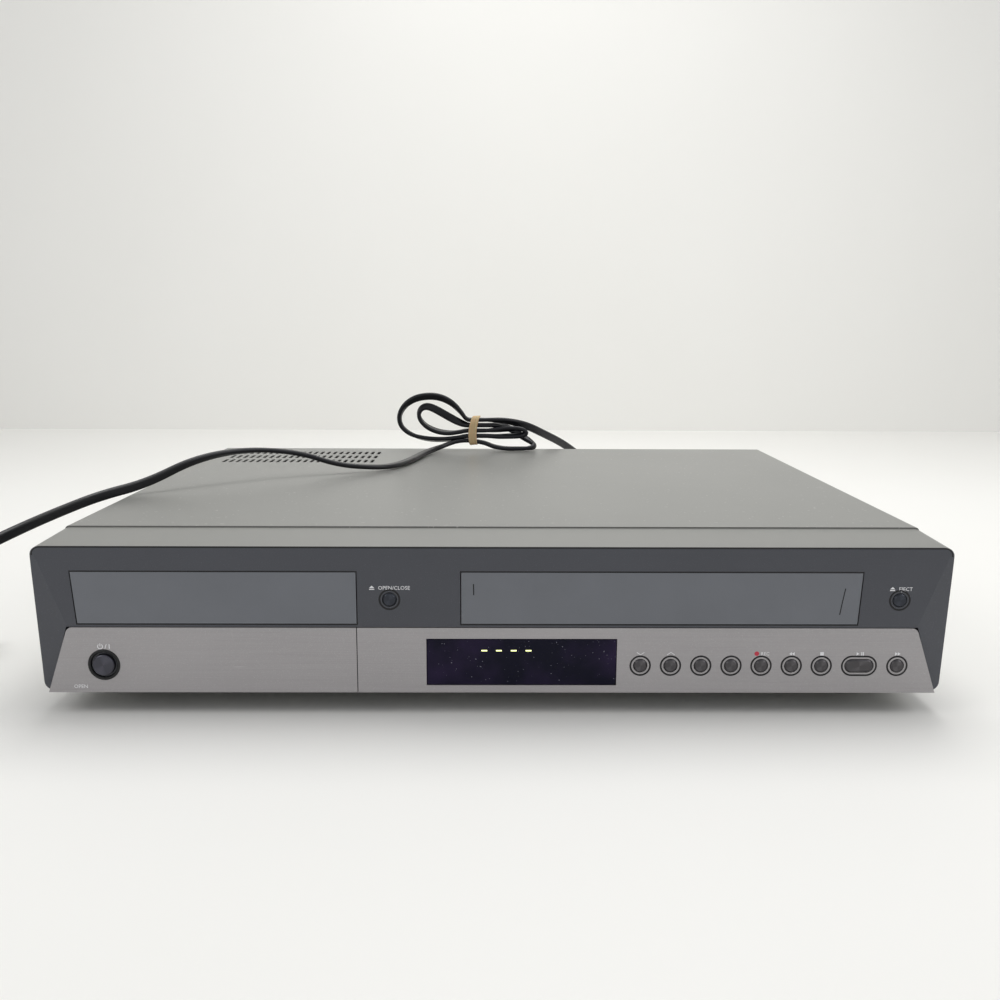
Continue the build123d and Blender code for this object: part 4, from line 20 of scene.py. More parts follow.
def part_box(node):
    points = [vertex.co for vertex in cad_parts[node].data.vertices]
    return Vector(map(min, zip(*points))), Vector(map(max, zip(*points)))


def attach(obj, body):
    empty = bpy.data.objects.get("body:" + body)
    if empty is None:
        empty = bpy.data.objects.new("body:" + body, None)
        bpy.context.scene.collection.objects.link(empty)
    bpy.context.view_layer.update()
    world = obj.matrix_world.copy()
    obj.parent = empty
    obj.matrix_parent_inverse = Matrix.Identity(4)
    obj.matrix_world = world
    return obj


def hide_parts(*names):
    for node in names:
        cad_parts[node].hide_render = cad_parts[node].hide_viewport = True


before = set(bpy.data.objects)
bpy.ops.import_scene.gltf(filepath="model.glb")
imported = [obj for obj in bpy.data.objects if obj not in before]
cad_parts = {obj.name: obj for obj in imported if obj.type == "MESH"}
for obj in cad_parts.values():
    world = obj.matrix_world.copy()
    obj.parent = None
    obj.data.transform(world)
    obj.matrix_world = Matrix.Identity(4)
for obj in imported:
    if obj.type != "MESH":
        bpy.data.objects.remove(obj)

LOG = logging.getLogger("player")
MM = 0.001

BMesh = bmesh.types.BMesh
Material = bpy.types.Material
Object = bpy.types.Object
Socket = bpy.types.NodeSocket
Point = tuple[float, float, float]
Flat = tuple[float, float]
Colour = tuple[float, float, float]

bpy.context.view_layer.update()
FRONT_Y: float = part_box("front_panel")[0][1]
REAR_Y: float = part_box("top_cover")[1][1]
PRINT_LIFT = 0.05   # how far a print stands before the front face, in millimetres
PRINT_DEPTH = 0.04  # how thick a print is, in millimetres
FONT_RISE = 1.5     # the font's size over the height of its capitals
SQUARE = ((-1, -1), (1, -1), (1, 1), (-1, 1))


def from_screen(*values: int) -> Colour:
    """Turn red, green and blue as a screen shows them, 0 to 255, into linear light, 0 to 1."""
    shares = [value / 255.0 for value in values]
    return tuple(share / 12.92 if share <= 0.04045 else ((share + 0.055) / 1.055) ** 2.4 for share in shares)


def millimetres(x: float, y: float, z: float) -> Point:
    """Give a point in metres from millimetres, with y counted from the front face."""
    return x * MM, FRONT_Y + y * MM, z * MM


def add_to_scene(name: str, data: bpy.types.ID) -> Object:
    """Put data in the scene as a new object.

    Args:
        name: The object's name.
        data: What it shows.

    Returns:
        The object.
    """
    made = bpy.data.objects.new(name, data)
    bpy.context.scene.collection.objects.link(made)
    return made


def read_curve(name: str, curve: bpy.types.Curve) -> bpy.types.Mesh:
    """Turn a curve or a text into a mesh and take the curve out of the scene.

    Args:
        name: A name for the passing object.
        curve: The curve or the text.

    Returns:
        The mesh.
    """
    holder = add_to_scene(name, curve)
    bpy.context.view_layer.update()
    read = bpy.data.meshes.new_from_object(holder)
    bpy.data.objects.remove(holder)
    return read


# -------- finishes
class Graph:
    """A material under construction: one principled shader and the nodes that feed it."""

    def __init__(self, name: str) -> None:
        """Start an empty node material.

        Args:
            name: The material's name.
        """
        self.material = bpy.data.materials.new(name)
        self.material.use_nodes = True
        self.tree = self.material.node_tree
        self.shader = self.tree.nodes["Principled BSDF"]

    def node(self, kind: str, inputs: dict[str | int, object] | None = None,
             **settings: object) -> bpy.types.Node:
        """Add a node.

        Args:
            kind: The node's type.
            inputs: Values or sockets for its inputs, by name or number.
            settings: Attributes of the node itself.

        Returns:
            The new node.
        """
        made = self.tree.nodes.new(kind)
        for key, value in settings.items():
            setattr(made, key, value)
        for key, value in (inputs or {}).items():
            self.put(made.inputs[key], value)
        return made

    def put(self, target: Socket, value: object) -> None:
        """Link a socket to an input, or set the input to a plain value.

        Args:
            target: The input.
            value: The socket or the value.
        """
        if isinstance(value, Socket):
            self.tree.links.new(value, target)
        else:
            target.default_value = value

    @cached_property
    def place(self) -> Socket:
        """The point on the piece, in its own metres."""
        return self.node("ShaderNodeTexCoord").outputs["Object"]

    def mapped(self, **settings: Point) -> Socket:
        """Give the point on the piece moved, turned or scaled by the settings of a mapping."""
        return self.node("ShaderNodeMapping", {"Vector": self.place, **settings}).outputs["Vector"]

    def noise(self, scale: float, detail: float = 3.0, along: Socket | None = None) -> Socket:
        """Give a noise of some features per metre, along other coordinates than the place if given."""
        inputs = {"Vector": along or self.place, "Scale": scale, "Detail": detail}
        return self.node("ShaderNodeTexNoise", inputs).outputs["Fac"]

    def math(self, operation: str, *values: Socket | float) -> Socket:
        """Give the result of one arithmetic step on sockets or numbers."""
        return self.node("ShaderNodeMath", dict(enumerate(values)), operation=operation).outputs["Value"]

    def ramp(self, value: Socket, low: float, high: float) -> Socket:
        """Map a value so that low becomes 0 and high becomes 1, held at both ends."""
        made = self.node("ShaderNodeMapRange", {"Value": value, "From Min": low, "From Max": high})
        return made.outputs["Result"]

    def between(self, share: Socket, first: Colour | Socket, second: Colour | Socket) -> Socket:
        """Mix two colours.

        Args:
            share: 0 for the first colour, 1 for the second.
            first: A colour, or a socket that carries one.
            second: A colour, or a socket that carries one.

        Returns:
            The mixed colour's socket.
        """
        made = self.node("ShaderNodeMix", data_type="RGBA")
        for number, value in ((0, share), (6, first), (7, second)):
            self.put(made.inputs[number], value if isinstance(value, Socket) else (*value, 1.0))
        return made.outputs[2]

    def vary(self, share: Socket, colour: Colour, low: float, high: float) -> Socket:
        """Mix two strengths of one colour."""
        return self.between(share, tint(colour, low), tint(colour, high))

    def colour(self, value: Socket) -> None:
        """Give the shader its colour."""
        self.set(Base_Color=value)

    def set(self, **values: object) -> None:
        """Put values or sockets on the shader's inputs; underscores stand for spaces."""
        for key, value in values.items():
            self.put(self.shader.inputs[key.replace("_", " ")], value)

    def bump(self, height: Socket, depth: float) -> None:
        """Raise the surface by a height field of the given depth in metres."""
        made = self.node("ShaderNodeBump", {"Height": height, "Distance": depth, "Strength": 1.0})
        self.set(Normal=made.outputs["Normal"])


def tint(colour: Colour, factor: float) -> Colour:
    """Make a colour lighter or darker by a factor."""
    return tuple(min(1.0, share * factor) for share in colour)


@dataclass(frozen=True)
class Surface:
    """What every finish has: its name and its main colour."""

    name: str
    colour: Colour

    def make(self) -> Material:
        """Build the finish's material.

        Returns:
            The material.
        """
        graph = Graph(self.name)
        self.paint(graph)
        return graph.material

    def paint(self, graph: Graph) -> None:
        """Lay the finish; each kind has its own way."""
        raise NotImplementedError


@dataclass(frozen=True)
class Moulding(Surface):
    """Moulded plastic with a fine spark-eroded grain and slight patches of handling."""

    roughness: float = 0.45
    grain: float = 2600.0
    depth: float = 0.00003
    patches: float = 0.06

    def paint(self, graph: Graph) -> None:
        """Lay the finish.

        Args:
            graph: The material to build on.
        """
        cloud = graph.noise(35.0, 4.0)
        grain = graph.noise(self.grain, 2.0)
        graph.colour(graph.vary(cloud, self.colour, 1 - self.patches, 1 + self.patches))
        graph.set(Roughness=self.roughness)
        graph.bump(grain, self.depth)


@dataclass(frozen=True)
class SatinPaint(Surface):
    """Satin paint on sheet steel: orange peel, faint clouds, dust specks and a few fine scratches."""

    roughness: float = 0.42
    wear: float = 0.35
    uneven: float = 0.06

    def paint(self, graph: Graph) -> None:
        """Lay the finish.

        Args:
            graph: The material to build on.
        """
        cloud = graph.noise(9.0, 5.0)
        peel = graph.noise(1400.0, 2.0)
        scratch_place = graph.mapped(Rotation=(0.0, 0.0, 0.5), Scale=(14.0, 420.0, 60.0))
        scratch = graph.ramp(graph.noise(1.0, 3.0, scratch_place), 0.735, 0.76)
        speck = graph.ramp(graph.noise(520.0, 0.0), 0.80, 0.83)
        base = graph.vary(cloud, self.colour, 0.93, 1.07)
        worn = graph.between(scratch, base, tint(self.colour, 1.0 + self.wear))
        graph.colour(graph.between(speck, worn, tint(self.colour, 1.0 + 2 * self.wear)))
        low, high = self.roughness - self.uneven, self.roughness + self.uneven
        span = {"Value": cloud, "To Min": low, "To Max": high}
        graph.set(Roughness=graph.node("ShaderNodeMapRange", span).outputs["Result"])
        graph.bump(peel, 0.00002)


@dataclass(frozen=True)
class TwoTone(Surface):
    """The front moulding: a dark gloss face below a painted top, parted where the surface turns up."""

    top: Colour
    roughness: float = 0.33

    def paint(self, graph: Graph) -> None:
        """Lay the finish.

        Args:
            graph: The material to build on.
        """
        normal = graph.node("ShaderNodeTexCoord").outputs["Normal"]
        up = graph.node("ShaderNodeSeparateXYZ", {"Vector": normal}).outputs["Z"]
        is_top = graph.ramp(up, 0.80, 0.90)
        cloud = graph.noise(12.0, 5.0)
        fleck = graph.ramp(graph.noise(2400.0, 1.0), 0.62, 0.8)
        face = graph.vary(cloud, self.colour, 0.86, 1.14)
        flecked = graph.between(fleck, face, tint(self.colour, 1.7))
        top = graph.vary(cloud, self.top, 0.95, 1.05)
        graph.colour(graph.between(is_top, flecked, top))
        graph.set(Roughness=self.roughness)
        graph.bump(graph.noise(1900.0, 2.0), 0.00002)


@dataclass(frozen=True)
class BrushedSkin(Surface):
    """A printed brushed-metal skin: long fine streaks along X, flecks and faint scuffs."""

    roughness: float = 0.38
    metal: float = 0.35

    def paint(self, graph: Graph) -> None:
        """Lay the finish.

        Args:
            graph: The material to build on.
        """
        streaks = graph.noise(1.0, 4.0, graph.mapped(Scale=(26.0, 300.0, 3600.0)))
        cloud = graph.noise(16.0, 4.0)
        fleck = graph.ramp(graph.noise(2600.0, 1.0), 0.60, 0.78)
        scuff_place = graph.mapped(Rotation=(0.0, 0.25, 0.0), Scale=(30.0, 100.0, 900.0))
        scuff = graph.ramp(graph.noise(1.0, 2.0, scuff_place), 0.74, 0.78)
        base = graph.vary(streaks, self.colour, 0.84, 1.16)
        clouded = graph.between(graph.ramp(cloud, 0.2, 1.4), base, tint(self.colour, 1.18))
        flecked = graph.between(fleck, clouded, tint(self.colour, 1.35))
        graph.colour(graph.between(scuff, flecked, tint(self.colour, 1.6)))
        graph.set(Roughness=self.roughness, Metallic=self.metal)
        graph.bump(streaks, 0.00002)


@dataclass(frozen=True)
class SpunMetal(Surface):
    """Metal turned on a lathe about a point of the front: fine rings round that point, and a painted
    highlight in two opposite wedges about it.
    """

    centre_x: float
    centre_z: float
    roughness: float = 0.34

    def paint(self, graph: Graph) -> None:
        """Lay the finish.

        Args:
            graph: The material to build on.
        """
        about = graph.mapped(Location=(-self.centre_x, 0.0, -self.centre_z))
        flattened = graph.node("ShaderNodeVectorMath", {0: about, 1: (1.0, 0.0, 1.0)}, operation="MULTIPLY")
        flat = flattened.outputs["Vector"]
        rings = graph.node(
            "ShaderNodeTexWave", {"Vector": flat, "Scale": 900.0, "Distortion": 0.6, "Detail": 2.0},
            wave_type="RINGS", rings_direction="SPHERICAL",
        ).outputs["Fac"]
        parts = graph.node("ShaderNodeSeparateXYZ", {"Vector": flat})
        # Painted highlight: the colour brightens in two opposite wedges about the middle, where the turned
        # metal would catch the lamps.
        angle = graph.math("ARCTAN2", parts.outputs["Z"], parts.outputs["X"])
        highlight_wedges = graph.math("COSINE", graph.math("MULTIPLY_ADD", angle, 2.0, -2.2))
        lit = graph.between(graph.ramp(highlight_wedges, -0.2, 1.0), tint(self.colour, 0.8), tint(self.colour, 1.5))
        graph.colour(graph.between(rings, lit, tint(self.colour, 0.9)))
        graph.set(Roughness=self.roughness, Metallic=0.75)
        graph.bump(rings, 0.00002)


@dataclass(frozen=True)
class SheetMetal(Surface):
    """Bare plated or turned metal with a faint grain and cloudy tarnish."""

    roughness: float = 0.3
    stretch: Point = (60.0, 900.0, 900.0)

    def paint(self, graph: Graph) -> None:
        """Lay the finish.

        Args:
            graph: The material to build on.
        """
        grain = graph.noise(1.0, 3.0, graph.mapped(Scale=self.stretch))
        cloud = graph.noise(28.0, 4.0)
        base = graph.vary(grain, self.colour, 0.9, 1.08)
        graph.colour(graph.between(cloud, base, tint(self.colour, 0.86)))
        graph.set(Roughness=self.roughness, Metallic=0.9)
        graph.bump(grain, 0.000015)


@dataclass(frozen=True)
class TintedWindow(Surface):
    """A smoked window: nearly black with a deep blue tint, and a painted purple reflection in patches."""

    colour: Colour = (0.002, 0.002, 0.012)
    painted_reflection: Colour = (0.022, 0.012, 0.045)

    def paint(self, graph: Graph) -> None:
        """Lay the finish.

        Args:
            graph: The material to build on.
        """
        cloud = graph.ramp(graph.noise(42.0, 5.0), 0.42, 0.78)
        dust = graph.ramp(graph.noise(1500.0, 0.0), 0.83, 0.9)
        # painted reflection: cloudy patches lighten the deep blue glass to purple
        with_reflection = graph.between(cloud, self.colour, self.painted_reflection)
        graph.colour(graph.between(dust, with_reflection, (0.25, 0.25, 0.30)))
        graph.set(Roughness=0.05, IOR=1.22)


@dataclass(frozen=True)
class Glow(Surface):
    """A lit segment of the display."""

    strength: float

    def paint(self, graph: Graph) -> None:
        """Lay the finish.

        Args:
            graph: The material to build on.
        """
        cells = graph.noise(5200.0, 1.0)
        graph.colour(graph.between(cells, tint(self.colour, 0.7), self.colour))
        graph.set(Emission_Color=(*self.colour, 1.0), Emission_Strength=self.strength, Roughness=0.5)


@dataclass(frozen=True)
class Laminate(Surface):
    """Circuit board laminate with green lacquer over copper tracks."""

    colour: Colour = (0.03, 0.16, 0.07)

    def paint(self, graph: Graph) -> None:
        """Lay the finish.

        Args:
            graph: The material to build on.
        """
        tracks = graph.node(
            "ShaderNodeTexBrick",
            {"Vector": graph.place, "Scale": 180.0, "Mortar Size": 0.02, "Color1": (*self.colour, 1.0),
             "Color2": (*tint(self.colour, 0.8), 1.0), "Mortar": (*tint(self.colour, 1.8), 1.0)},
        )
        cloud = graph.noise(60.0, 3.0)
        graph.colour(graph.between(cloud, tracks.outputs["Color"], tint(self.colour, 1.1)))
        graph.set(Roughness=0.35)
        graph.bump(tracks.outputs["Fac"], 0.00005)


@dataclass(frozen=True)
class CordSkin(Surface):
    """Soft black vinyl with a bright sheen and faint flow lines."""

    colour: Colour = (0.004, 0.004, 0.006)

    def paint(self, graph: Graph) -> None:
        """Lay the finish.

        Args:
            graph: The material to build on.
        """
        cloud = graph.noise(70.0, 3.0)
        graph.colour(graph.vary(cloud, self.colour, 0.8, 1.6))
        graph.set(Roughness=0.42, Specular_IOR_Level=0.3, Coat_Weight=0.25, Coat_Roughness=0.12)
        graph.bump(graph.noise(900.0, 2.0), 0.00002)


@dataclass(frozen=True)
class BandRubber(Surface):
    """Natural rubber of a band: tan, a little translucent, with fine creases across."""

    def paint(self, graph: Graph) -> None:
        """Lay the finish.

        Args:
            graph: The material to build on.
        """
        cloud = graph.noise(240.0, 4.0)
        creases = graph.noise(1.0, 3.0, graph.mapped(Scale=(420.0, 1800.0, 1800.0)))
        base = graph.vary(cloud, self.colour, 0.82, 1.12)
        graph.colour(graph.between(creases, base, tint(self.colour, 0.9)))
        graph.set(Roughness=0.62, Subsurface_Weight=0.15, Subsurface_Scale=0.002)
        graph.bump(creases, 0.00012)


@dataclass(frozen=True)
class PrintInk(Surface):
    """Screen-printed ink, slightly uneven."""

    def paint(self, graph: Graph) -> None:
        """Lay the finish.

        Args:
            graph: The material to build on.
        """
        patch = graph.noise(1800.0, 2.0)
        graph.colour(graph.vary(patch, self.colour, 0.82, 1.1))
        graph.set(Roughness=0.55)


class Finish(Enum):
    """The player's finishes, each made once and shared by every piece that has it."""

    COVER = SatinPaint("cover_paint", from_screen(126, 126, 122), roughness=0.34)
    FRONT = TwoTone("front_moulding", from_screen(66, 68, 75), from_screen(126, 126, 122))
    DOOR = Moulding("door_plastic", from_screen(106, 109, 115), roughness=0.32, patches=0.12)
    SKIN = BrushedSkin("brushed_skin", from_screen(160, 157, 158))
    WINDOW = TintedWindow("display_window")
    TUBE = Moulding("display_glass", (0.02, 0.025, 0.03), roughness=0.1)
    PLATED = SheetMetal("plated_sheet", from_screen(176, 177, 174), roughness=0.36)
    TURNED = SheetMetal("turned_aluminium", from_screen(206, 206, 204), roughness=0.22)
    STEEL = SheetMetal("screw_steel", from_screen(110, 110, 112), roughness=0.28, stretch=(700.0,) * 3)
    BOARD = Laminate("board_laminate")
    BLACK = Moulding("black_moulding", from_screen(38, 38, 40), roughness=0.5)
    GREY = Moulding("grey_moulding", from_screen(96, 97, 99), roughness=0.48)
    ACETAL = Moulding("white_acetal", from_screen(225, 224, 216), roughness=0.4)
    FOOT = Moulding("foot_rubber", from_screen(30, 30, 31), roughness=0.78, depth=0.00006)
    # dark rim of the face, and painted shade in the gaps round doors, keys and seam
    RIM = Moulding("dark_rim_and_painted_shade", from_screen(8, 8, 10), roughness=0.55)
    TAPE = Moulding("transformer_tape", from_screen(196, 160, 66), roughness=0.42)
    CORD = CordSkin("lead_vinyl")
    BAND = BandRubber("band_rubber", from_screen(214, 184, 140))
    INK = PrintInk("white_ink", from_screen(238, 238, 240))
    RED = PrintInk("red_ink", from_screen(196, 54, 74))
    DASH = Glow("display_glow", (0.75, 0.80, 0.34), 2.2)

    def material(self) -> Material:
        """Give the finish's material, made on first use."""
        name = self.value.name
        return bpy.data.materials.get(name) or self.value.make()


# -------- making pieces
def dress(nodes: Iterable[str], material: Material) -> None:
    """Give nodes of the frame a material.

    Args:
        nodes: Names of nodes.
        material: The material.
    """
    for name in nodes:
        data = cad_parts[name].data
        data.materials.clear()
        data.materials.append(material)
        LOG.info("dressed %s in %s", name, material.name)


def piece(name: str, mesh: BMesh, body: str, finish: Finish,
          smooth: bool = True) -> Object:
    """Turn a mesh into a piece that rides on a body.

    Args:
        name: The piece's name.
        mesh: Its mesh, which is used up.
        body: The frame's body that carries it.
        finish: Its finish.
        smooth: Whether its faces are shaded smooth.

    Returns:
        The new object.
    """
    bmesh.ops.recalc_face_normals(mesh, faces=mesh.faces)
    data = bpy.data.meshes.new(name)
    mesh.to_mesh(data)
    mesh.free()
    for face in data.polygons:
        face.use_smooth = smooth
    made = add_to_scene(name, data)
    data.materials.append(finish.material())
    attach(made, body)
    LOG.info("built %s on %s", name, body)
    return made


def plates(name: str, outlines: Iterable[Sequence[Flat]], y: float, depth: float, body: str,
           finish: Finish) -> None:
    """Make a piece of thin flat plates, each drawn as an outline on the front and given a depth.

    Args:
        name: The piece's name.
        outlines: Each plate's points in x and z, in millimetres.
        y: The plates' front, in millimetres behind the front face.
        depth: Their thickness in millimetres.
        body: The body that carries them.
        finish: Their finish.
    """
    mesh = bmesh.new()
    for outline in outlines:
        front = [mesh.verts.new(millimetres(x, y, z)) for x, z in outline]
        back = [mesh.verts.new(millimetres(x, y + depth, z)) for x, z in outline]
        mesh.faces.new(front)
        mesh.faces.new(back[::-1])
        for near, far, far_next, near_next in zip(front, back, back[1:] + back[:1], front[1:] + front[:1]):
            mesh.faces.new((near, far, far_next, near_next))
    piece(name, mesh, body, finish, smooth=False)


def ring_of(centre: Flat, radius: float, start: float = 0.0, sweep: float = 360.0,
            steps: int = 24) -> list[Flat]:
    """Points along an arc on the front.

    Args:
        centre: Its middle, x and z.
        radius: Its radius.
        start: Where it starts, in degrees from +X.
        sweep: How far it turns, in degrees.
        steps: How many steps it takes.

    Returns:
        The points, with the last one left out on a full circle.
    """
    count = steps if abs(sweep) >= 360 else steps + 1
    angles = [math.radians(start + sweep * index / steps) for index in range(count)]
    return [(centre[0] + radius * math.cos(angle), centre[1] + radius * math.sin(angle)) for angle in angles]


def stroke(points: Sequence[Flat], width: float) -> list[Flat]:
    """Turn a drawn line into the closed outline of a band of even width.

    Args:
        points: The line, in x and z.
        width: The band's width.

    Returns:
        The outline.
    """
    left: list[Flat] = []
    right: list[Flat] = []
    for index, (x, z) in enumerate(points):
        before = points[max(index - 1, 0)]
        after = points[min(index + 1, len(points) - 1)]
        along = Vector((after[0] - before[0], after[1] - before[1])).normalized()
        left.append((x - along.y * width / 2, z + along.x * width / 2))
        right.append((x + along.y * width / 2, z - along.x * width / 2))
    return left + right[::-1]


class Mark(Enum):
    """The printed signs beside the keys."""

    POWER = "power"
    EJECT = "eject"
    DOWN = "down"
    UP = "up"
    RECORD = "record"
    REWIND = "rewind"
    STOP = "stop"
    PLAY = "play"
    FORWARD = "forward"

    def outlines(self, x: float, z: float, size: float) -> list[list[Flat]]:
        """Draw the sign.

        Args:
            x: The sign's middle in millimetres.
            z: The sign's middle height in millimetres.
            size: Half the sign's height in millimetres.

        Returns:
            Closed outlines in x and z.
        """
        def triangle(at: float, way: int) -> list[Flat]:
            """Draw a triangle with its foot at x and its tip to one side."""
            return [(at, z - size), (at, z + size), (at + way * size * 1.5, z)]

        if self is Mark.POWER:
            return [
                stroke(ring_of((x - 2.1, z), size, 125, 290, 20), 0.35),
                stroke([(x - 2.1, z + 0.1), (x - 2.1, z + size * 1.3)], 0.35),
                stroke([(x + 0.1, z - size), (x + 0.9, z + size)], 0.3),
                stroke([(x + 2.2, z - size), (x + 2.2, z + size)], 0.4),
            ]
        if self is Mark.EJECT:
            roof = [(x - size * 1.2, z - size * 0.1), (x, z + size), (x + size * 1.2, z - size * 0.1)]
            foot = [(x - size * 1.2, z - size * 0.7), (x + size * 1.2, z - size * 0.7)]
            return [roof, stroke(foot, size * 0.45)]
        if self in (Mark.DOWN, Mark.UP):
            way = 1 if self is Mark.UP else -1
            return [stroke([(x - 1.8, z - way * 0.6), (x, z + way * 0.6), (x + 1.8, z - way * 0.6)], 0.3)]
        if self is Mark.RECORD:
            return [ring_of((x, z), size * 1.5)]
        if self is Mark.STOP:
            return [[(x + size * across, z + size * up) for across, up in SQUARE]]
        if self is Mark.PLAY:
            places = (x + size * 1.1, x + size * 2.0)
            bars = [stroke([(at, z - size), (at, z + size)], size * 0.55) for at in places]
            return [triangle(x - size * 1.8, 1), *bars]
        way = 1 if self is Mark.FORWARD else -1
        return [triangle(x - way * size * 1.5, way), triangle(x, way)]


def print_mark(name: str, mark: Mark, x: float, z: float, size: float, body: str,
               ink: Finish = Finish.INK) -> None:
    """Print a sign on a body, about x and z and twice as high as its size, in millimetres."""
    plates(name, mark.outlines(x, z, size), -PRINT_LIFT, PRINT_DEPTH, body, ink)


def sweep(mesh: BMesh, sections: Sequence[Sequence[Vector]], closed: bool = False) -> None:
    """Skin a row of sections.

    Args:
        mesh: The mesh to add to.
        sections: The points round the line at each of its points, all of one count.
        closed: Whether the row closes on itself. If not, both ends are capped.
    """
    rings = [[mesh.verts.new(point) for point in section] for section in sections]
    sides = len(rings[0])
    for first, second in zip(rings, rings[1:] + rings[:1] if closed else rings[1:]):
        for step in range(sides):
            following = (step + 1) % sides
            mesh.faces.new((first[step], first[following], second[following], second[step]))
    if not closed:
        mesh.faces.new(rings[0])
        mesh.faces.new(rings[-1][::-1])


def tube(name: str, points: Sequence[Point], radius: float, body: str, closed: bool = False,
         sides: int = 10) -> None:
    """Lay a thin dark bead along a line: the face's dark rim, or painted shade in a gap.

    Args:
        name: The piece's name.
        points: The line, in metres.
        radius: The bead's radius in metres.
        body: The body it rides on.
        closed: Whether the line closes on itself.
        sides: How many sides the bead has.
    """
    mesh = bmesh.new()
    line = [Vector(point) for point in points]
    count = len(line)
    sections: list[list[Vector]] = []
    side = Vector((0, 1, 0))
    turns = [2 * math.pi * step / sides for step in range(sides)]
    for index, here in enumerate(line):
        before = line[index - 1] if index or closed else here
        after = line[(index + 1) % count] if index < count - 1 or closed else here
        along = (after - before).normalized()
        side = (side - along * side.dot(along)).normalized()
        other = along.cross(side)
        sections.append([here + radius * (math.cos(turn) * side + math.sin(turn) * other) for turn in turns])
    sweep(mesh, sections, closed)
    piece(name, mesh, body, Finish.RIM)


def print_word(name: str, word: str, x: float, z: float, height: float, body: str) -> None:
    """Print a plain word on the front.

    Args:
        name: The piece's name.
        word: What it says.
        x: Its middle in millimetres.
        z: The height of its foot in millimetres.
        height: The height of its letters in millimetres.
        body: The body whose surface it is printed on.
    """
    text = bpy.data.curves.new(name + "_text", "FONT")
    text.body = word
    text.size = height * FONT_RISE * MM
    text.align_x = "CENTER"
    text.extrude = PRINT_DEPTH / 2 * MM
    text.resolution_u = 2
    read = read_curve(name + "_text", text)
    mesh = bmesh.new()
    mesh.from_mesh(read)
    middle_y = PRINT_DEPTH / 2 - PRINT_LIFT
    mesh.transform(Matrix.Translation(millimetres(x, middle_y, z)) @ Matrix.Rotation(math.pi / 2, 4, "X"))
    bpy.data.meshes.remove(read)
    piece(name, mesh, body, Finish.INK, smooth=False)


def front_corners(node: str) -> list[Point]:
    """Find the four corners of a door's front from its mesh, going round from the lower left.

    Args:
        node: The door's node.

    Returns:
        The corners in metres.
    """
    points = [vertex.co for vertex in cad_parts[node].data.vertices]
    front = min(point.y for point in points)
    skin, edge = 1.0 * MM, 0.3 * MM
    face = [point for point in points if point.y < front + skin]
    low, high = min(point.z for point in face), max(point.z for point in face)
    feet = [point.x for point in face if point.z < low + edge]
    heads = [point.x for point in face if point.z > high - edge]
    corners = ((min(feet), low), (max(feet), low), (max(heads), high), (min(heads), high))
    return [(x, front, z) for x, z in corners]


# -------- studio
@dataclass(frozen=True)
class Studio:
    """The pale table and backdrop, the lamps and the camera."""

    camera_x: float = -1.2 * MM
    camera_back: float = 441.0 * MM
    camera_z: float = 185.7 * MM
    yaw: float = math.radians(-0.51)
    pitch: float = math.radians(10.47)
    roll: float = math.radians(0.237)
    lens: float = 35.15
    wall_y: float = 1.05
    wall_height: float = 2.2
    room_front: float = -2.4
    room_half: float = 2.6
    world_colour: Colour = (0.96, 0.97, 1.0)
    world_strength: float = 0.55
    lamps: tuple[tuple[str, Point, float, float], ...] = (
        ("top_lamp", (0.1, 0.35, 1.25), 0.9, 9.0),
        ("left_lamp", (-1.0, -0.5, 0.9), 0.6, 2.7),
        ("right_lamp", (1.1, -0.3, 0.8), 0.6, 2.7),
    )
    lamp_aim: Point = (0.0, 0.0, 0.03)

    def aim_camera(self) -> None:
        """Put the camera where the photograph was taken from."""
        data = bpy.data.cameras.new("camera")
        data.sensor_width = 36.0
        data.lens = self.lens
        data.clip_start = 0.01
        camera = add_to_scene("camera", data)
        turn = Matrix.Rotation(self.yaw, 4, "Z") @ Matrix.Rotation(math.pi / 2 - self.pitch, 4, "X")
        turn = turn @ Matrix.Rotation(self.roll, 4, "Z")
        place = (self.camera_x, FRONT_Y - self.camera_back, self.camera_z)
        camera.matrix_world = Matrix.Translation(place) @ turn
        bpy.context.scene.camera = camera

    def build_room(self) -> None:
        """Make the table and the wall behind it."""
        half, front, wall, top = self.room_half, self.room_front, self.wall_y, self.wall_height
        table = ((-half, front, 0), (half, front, 0), (half, wall, 0), (-half, wall, 0))
        sheet = ((-half, wall, 0), (half, wall, 0), (half, wall, top), (-half, wall, top))
        data = bpy.data.meshes.new("backdrop")
        data.from_pydata(table + sheet, (), ((0, 1, 2, 3), (4, 5, 6, 7)))
        backdrop = add_to_scene("backdrop", data)
        graph = Graph("backdrop_paper")
        cloud = graph.noise(2.0, 3.0)
        graph.colour(graph.between(cloud, from_screen(238, 237, 232), from_screen(244, 243, 239)))
        graph.set(Roughness=0.6)
        data.materials.append(graph.material)

    def light(self) -> None:
        """Hang the soft lamps and set an even pale world."""
        world = bpy.data.worlds.new("world")
        world.use_nodes = True
        background = world.node_tree.nodes["Background"].inputs
        background["Color"].default_value = (*self.world_colour, 1.0)
        background["Strength"].default_value = self.world_strength
        bpy.context.scene.world = world
        for name, place, size, power in self.lamps:
            data = bpy.data.lights.new(name, "AREA")
            data.size = size
            data.energy = power
            lamp = add_to_scene(name, data)
            lamp.location = place
            lamp.rotation_euler = (Vector(self.lamp_aim) - Vector(place)).to_track_quat("-Z", "Y").to_euler()
        bpy.context.scene.view_settings.view_transform = "Standard"


# -------- mains lead
@dataclass(frozen=True)
class Stop:
    """A control point of the lead: its place in millimetres and the roll of the flat section."""

    x: float
    back: float
    z: float
    roll: float = 0.0


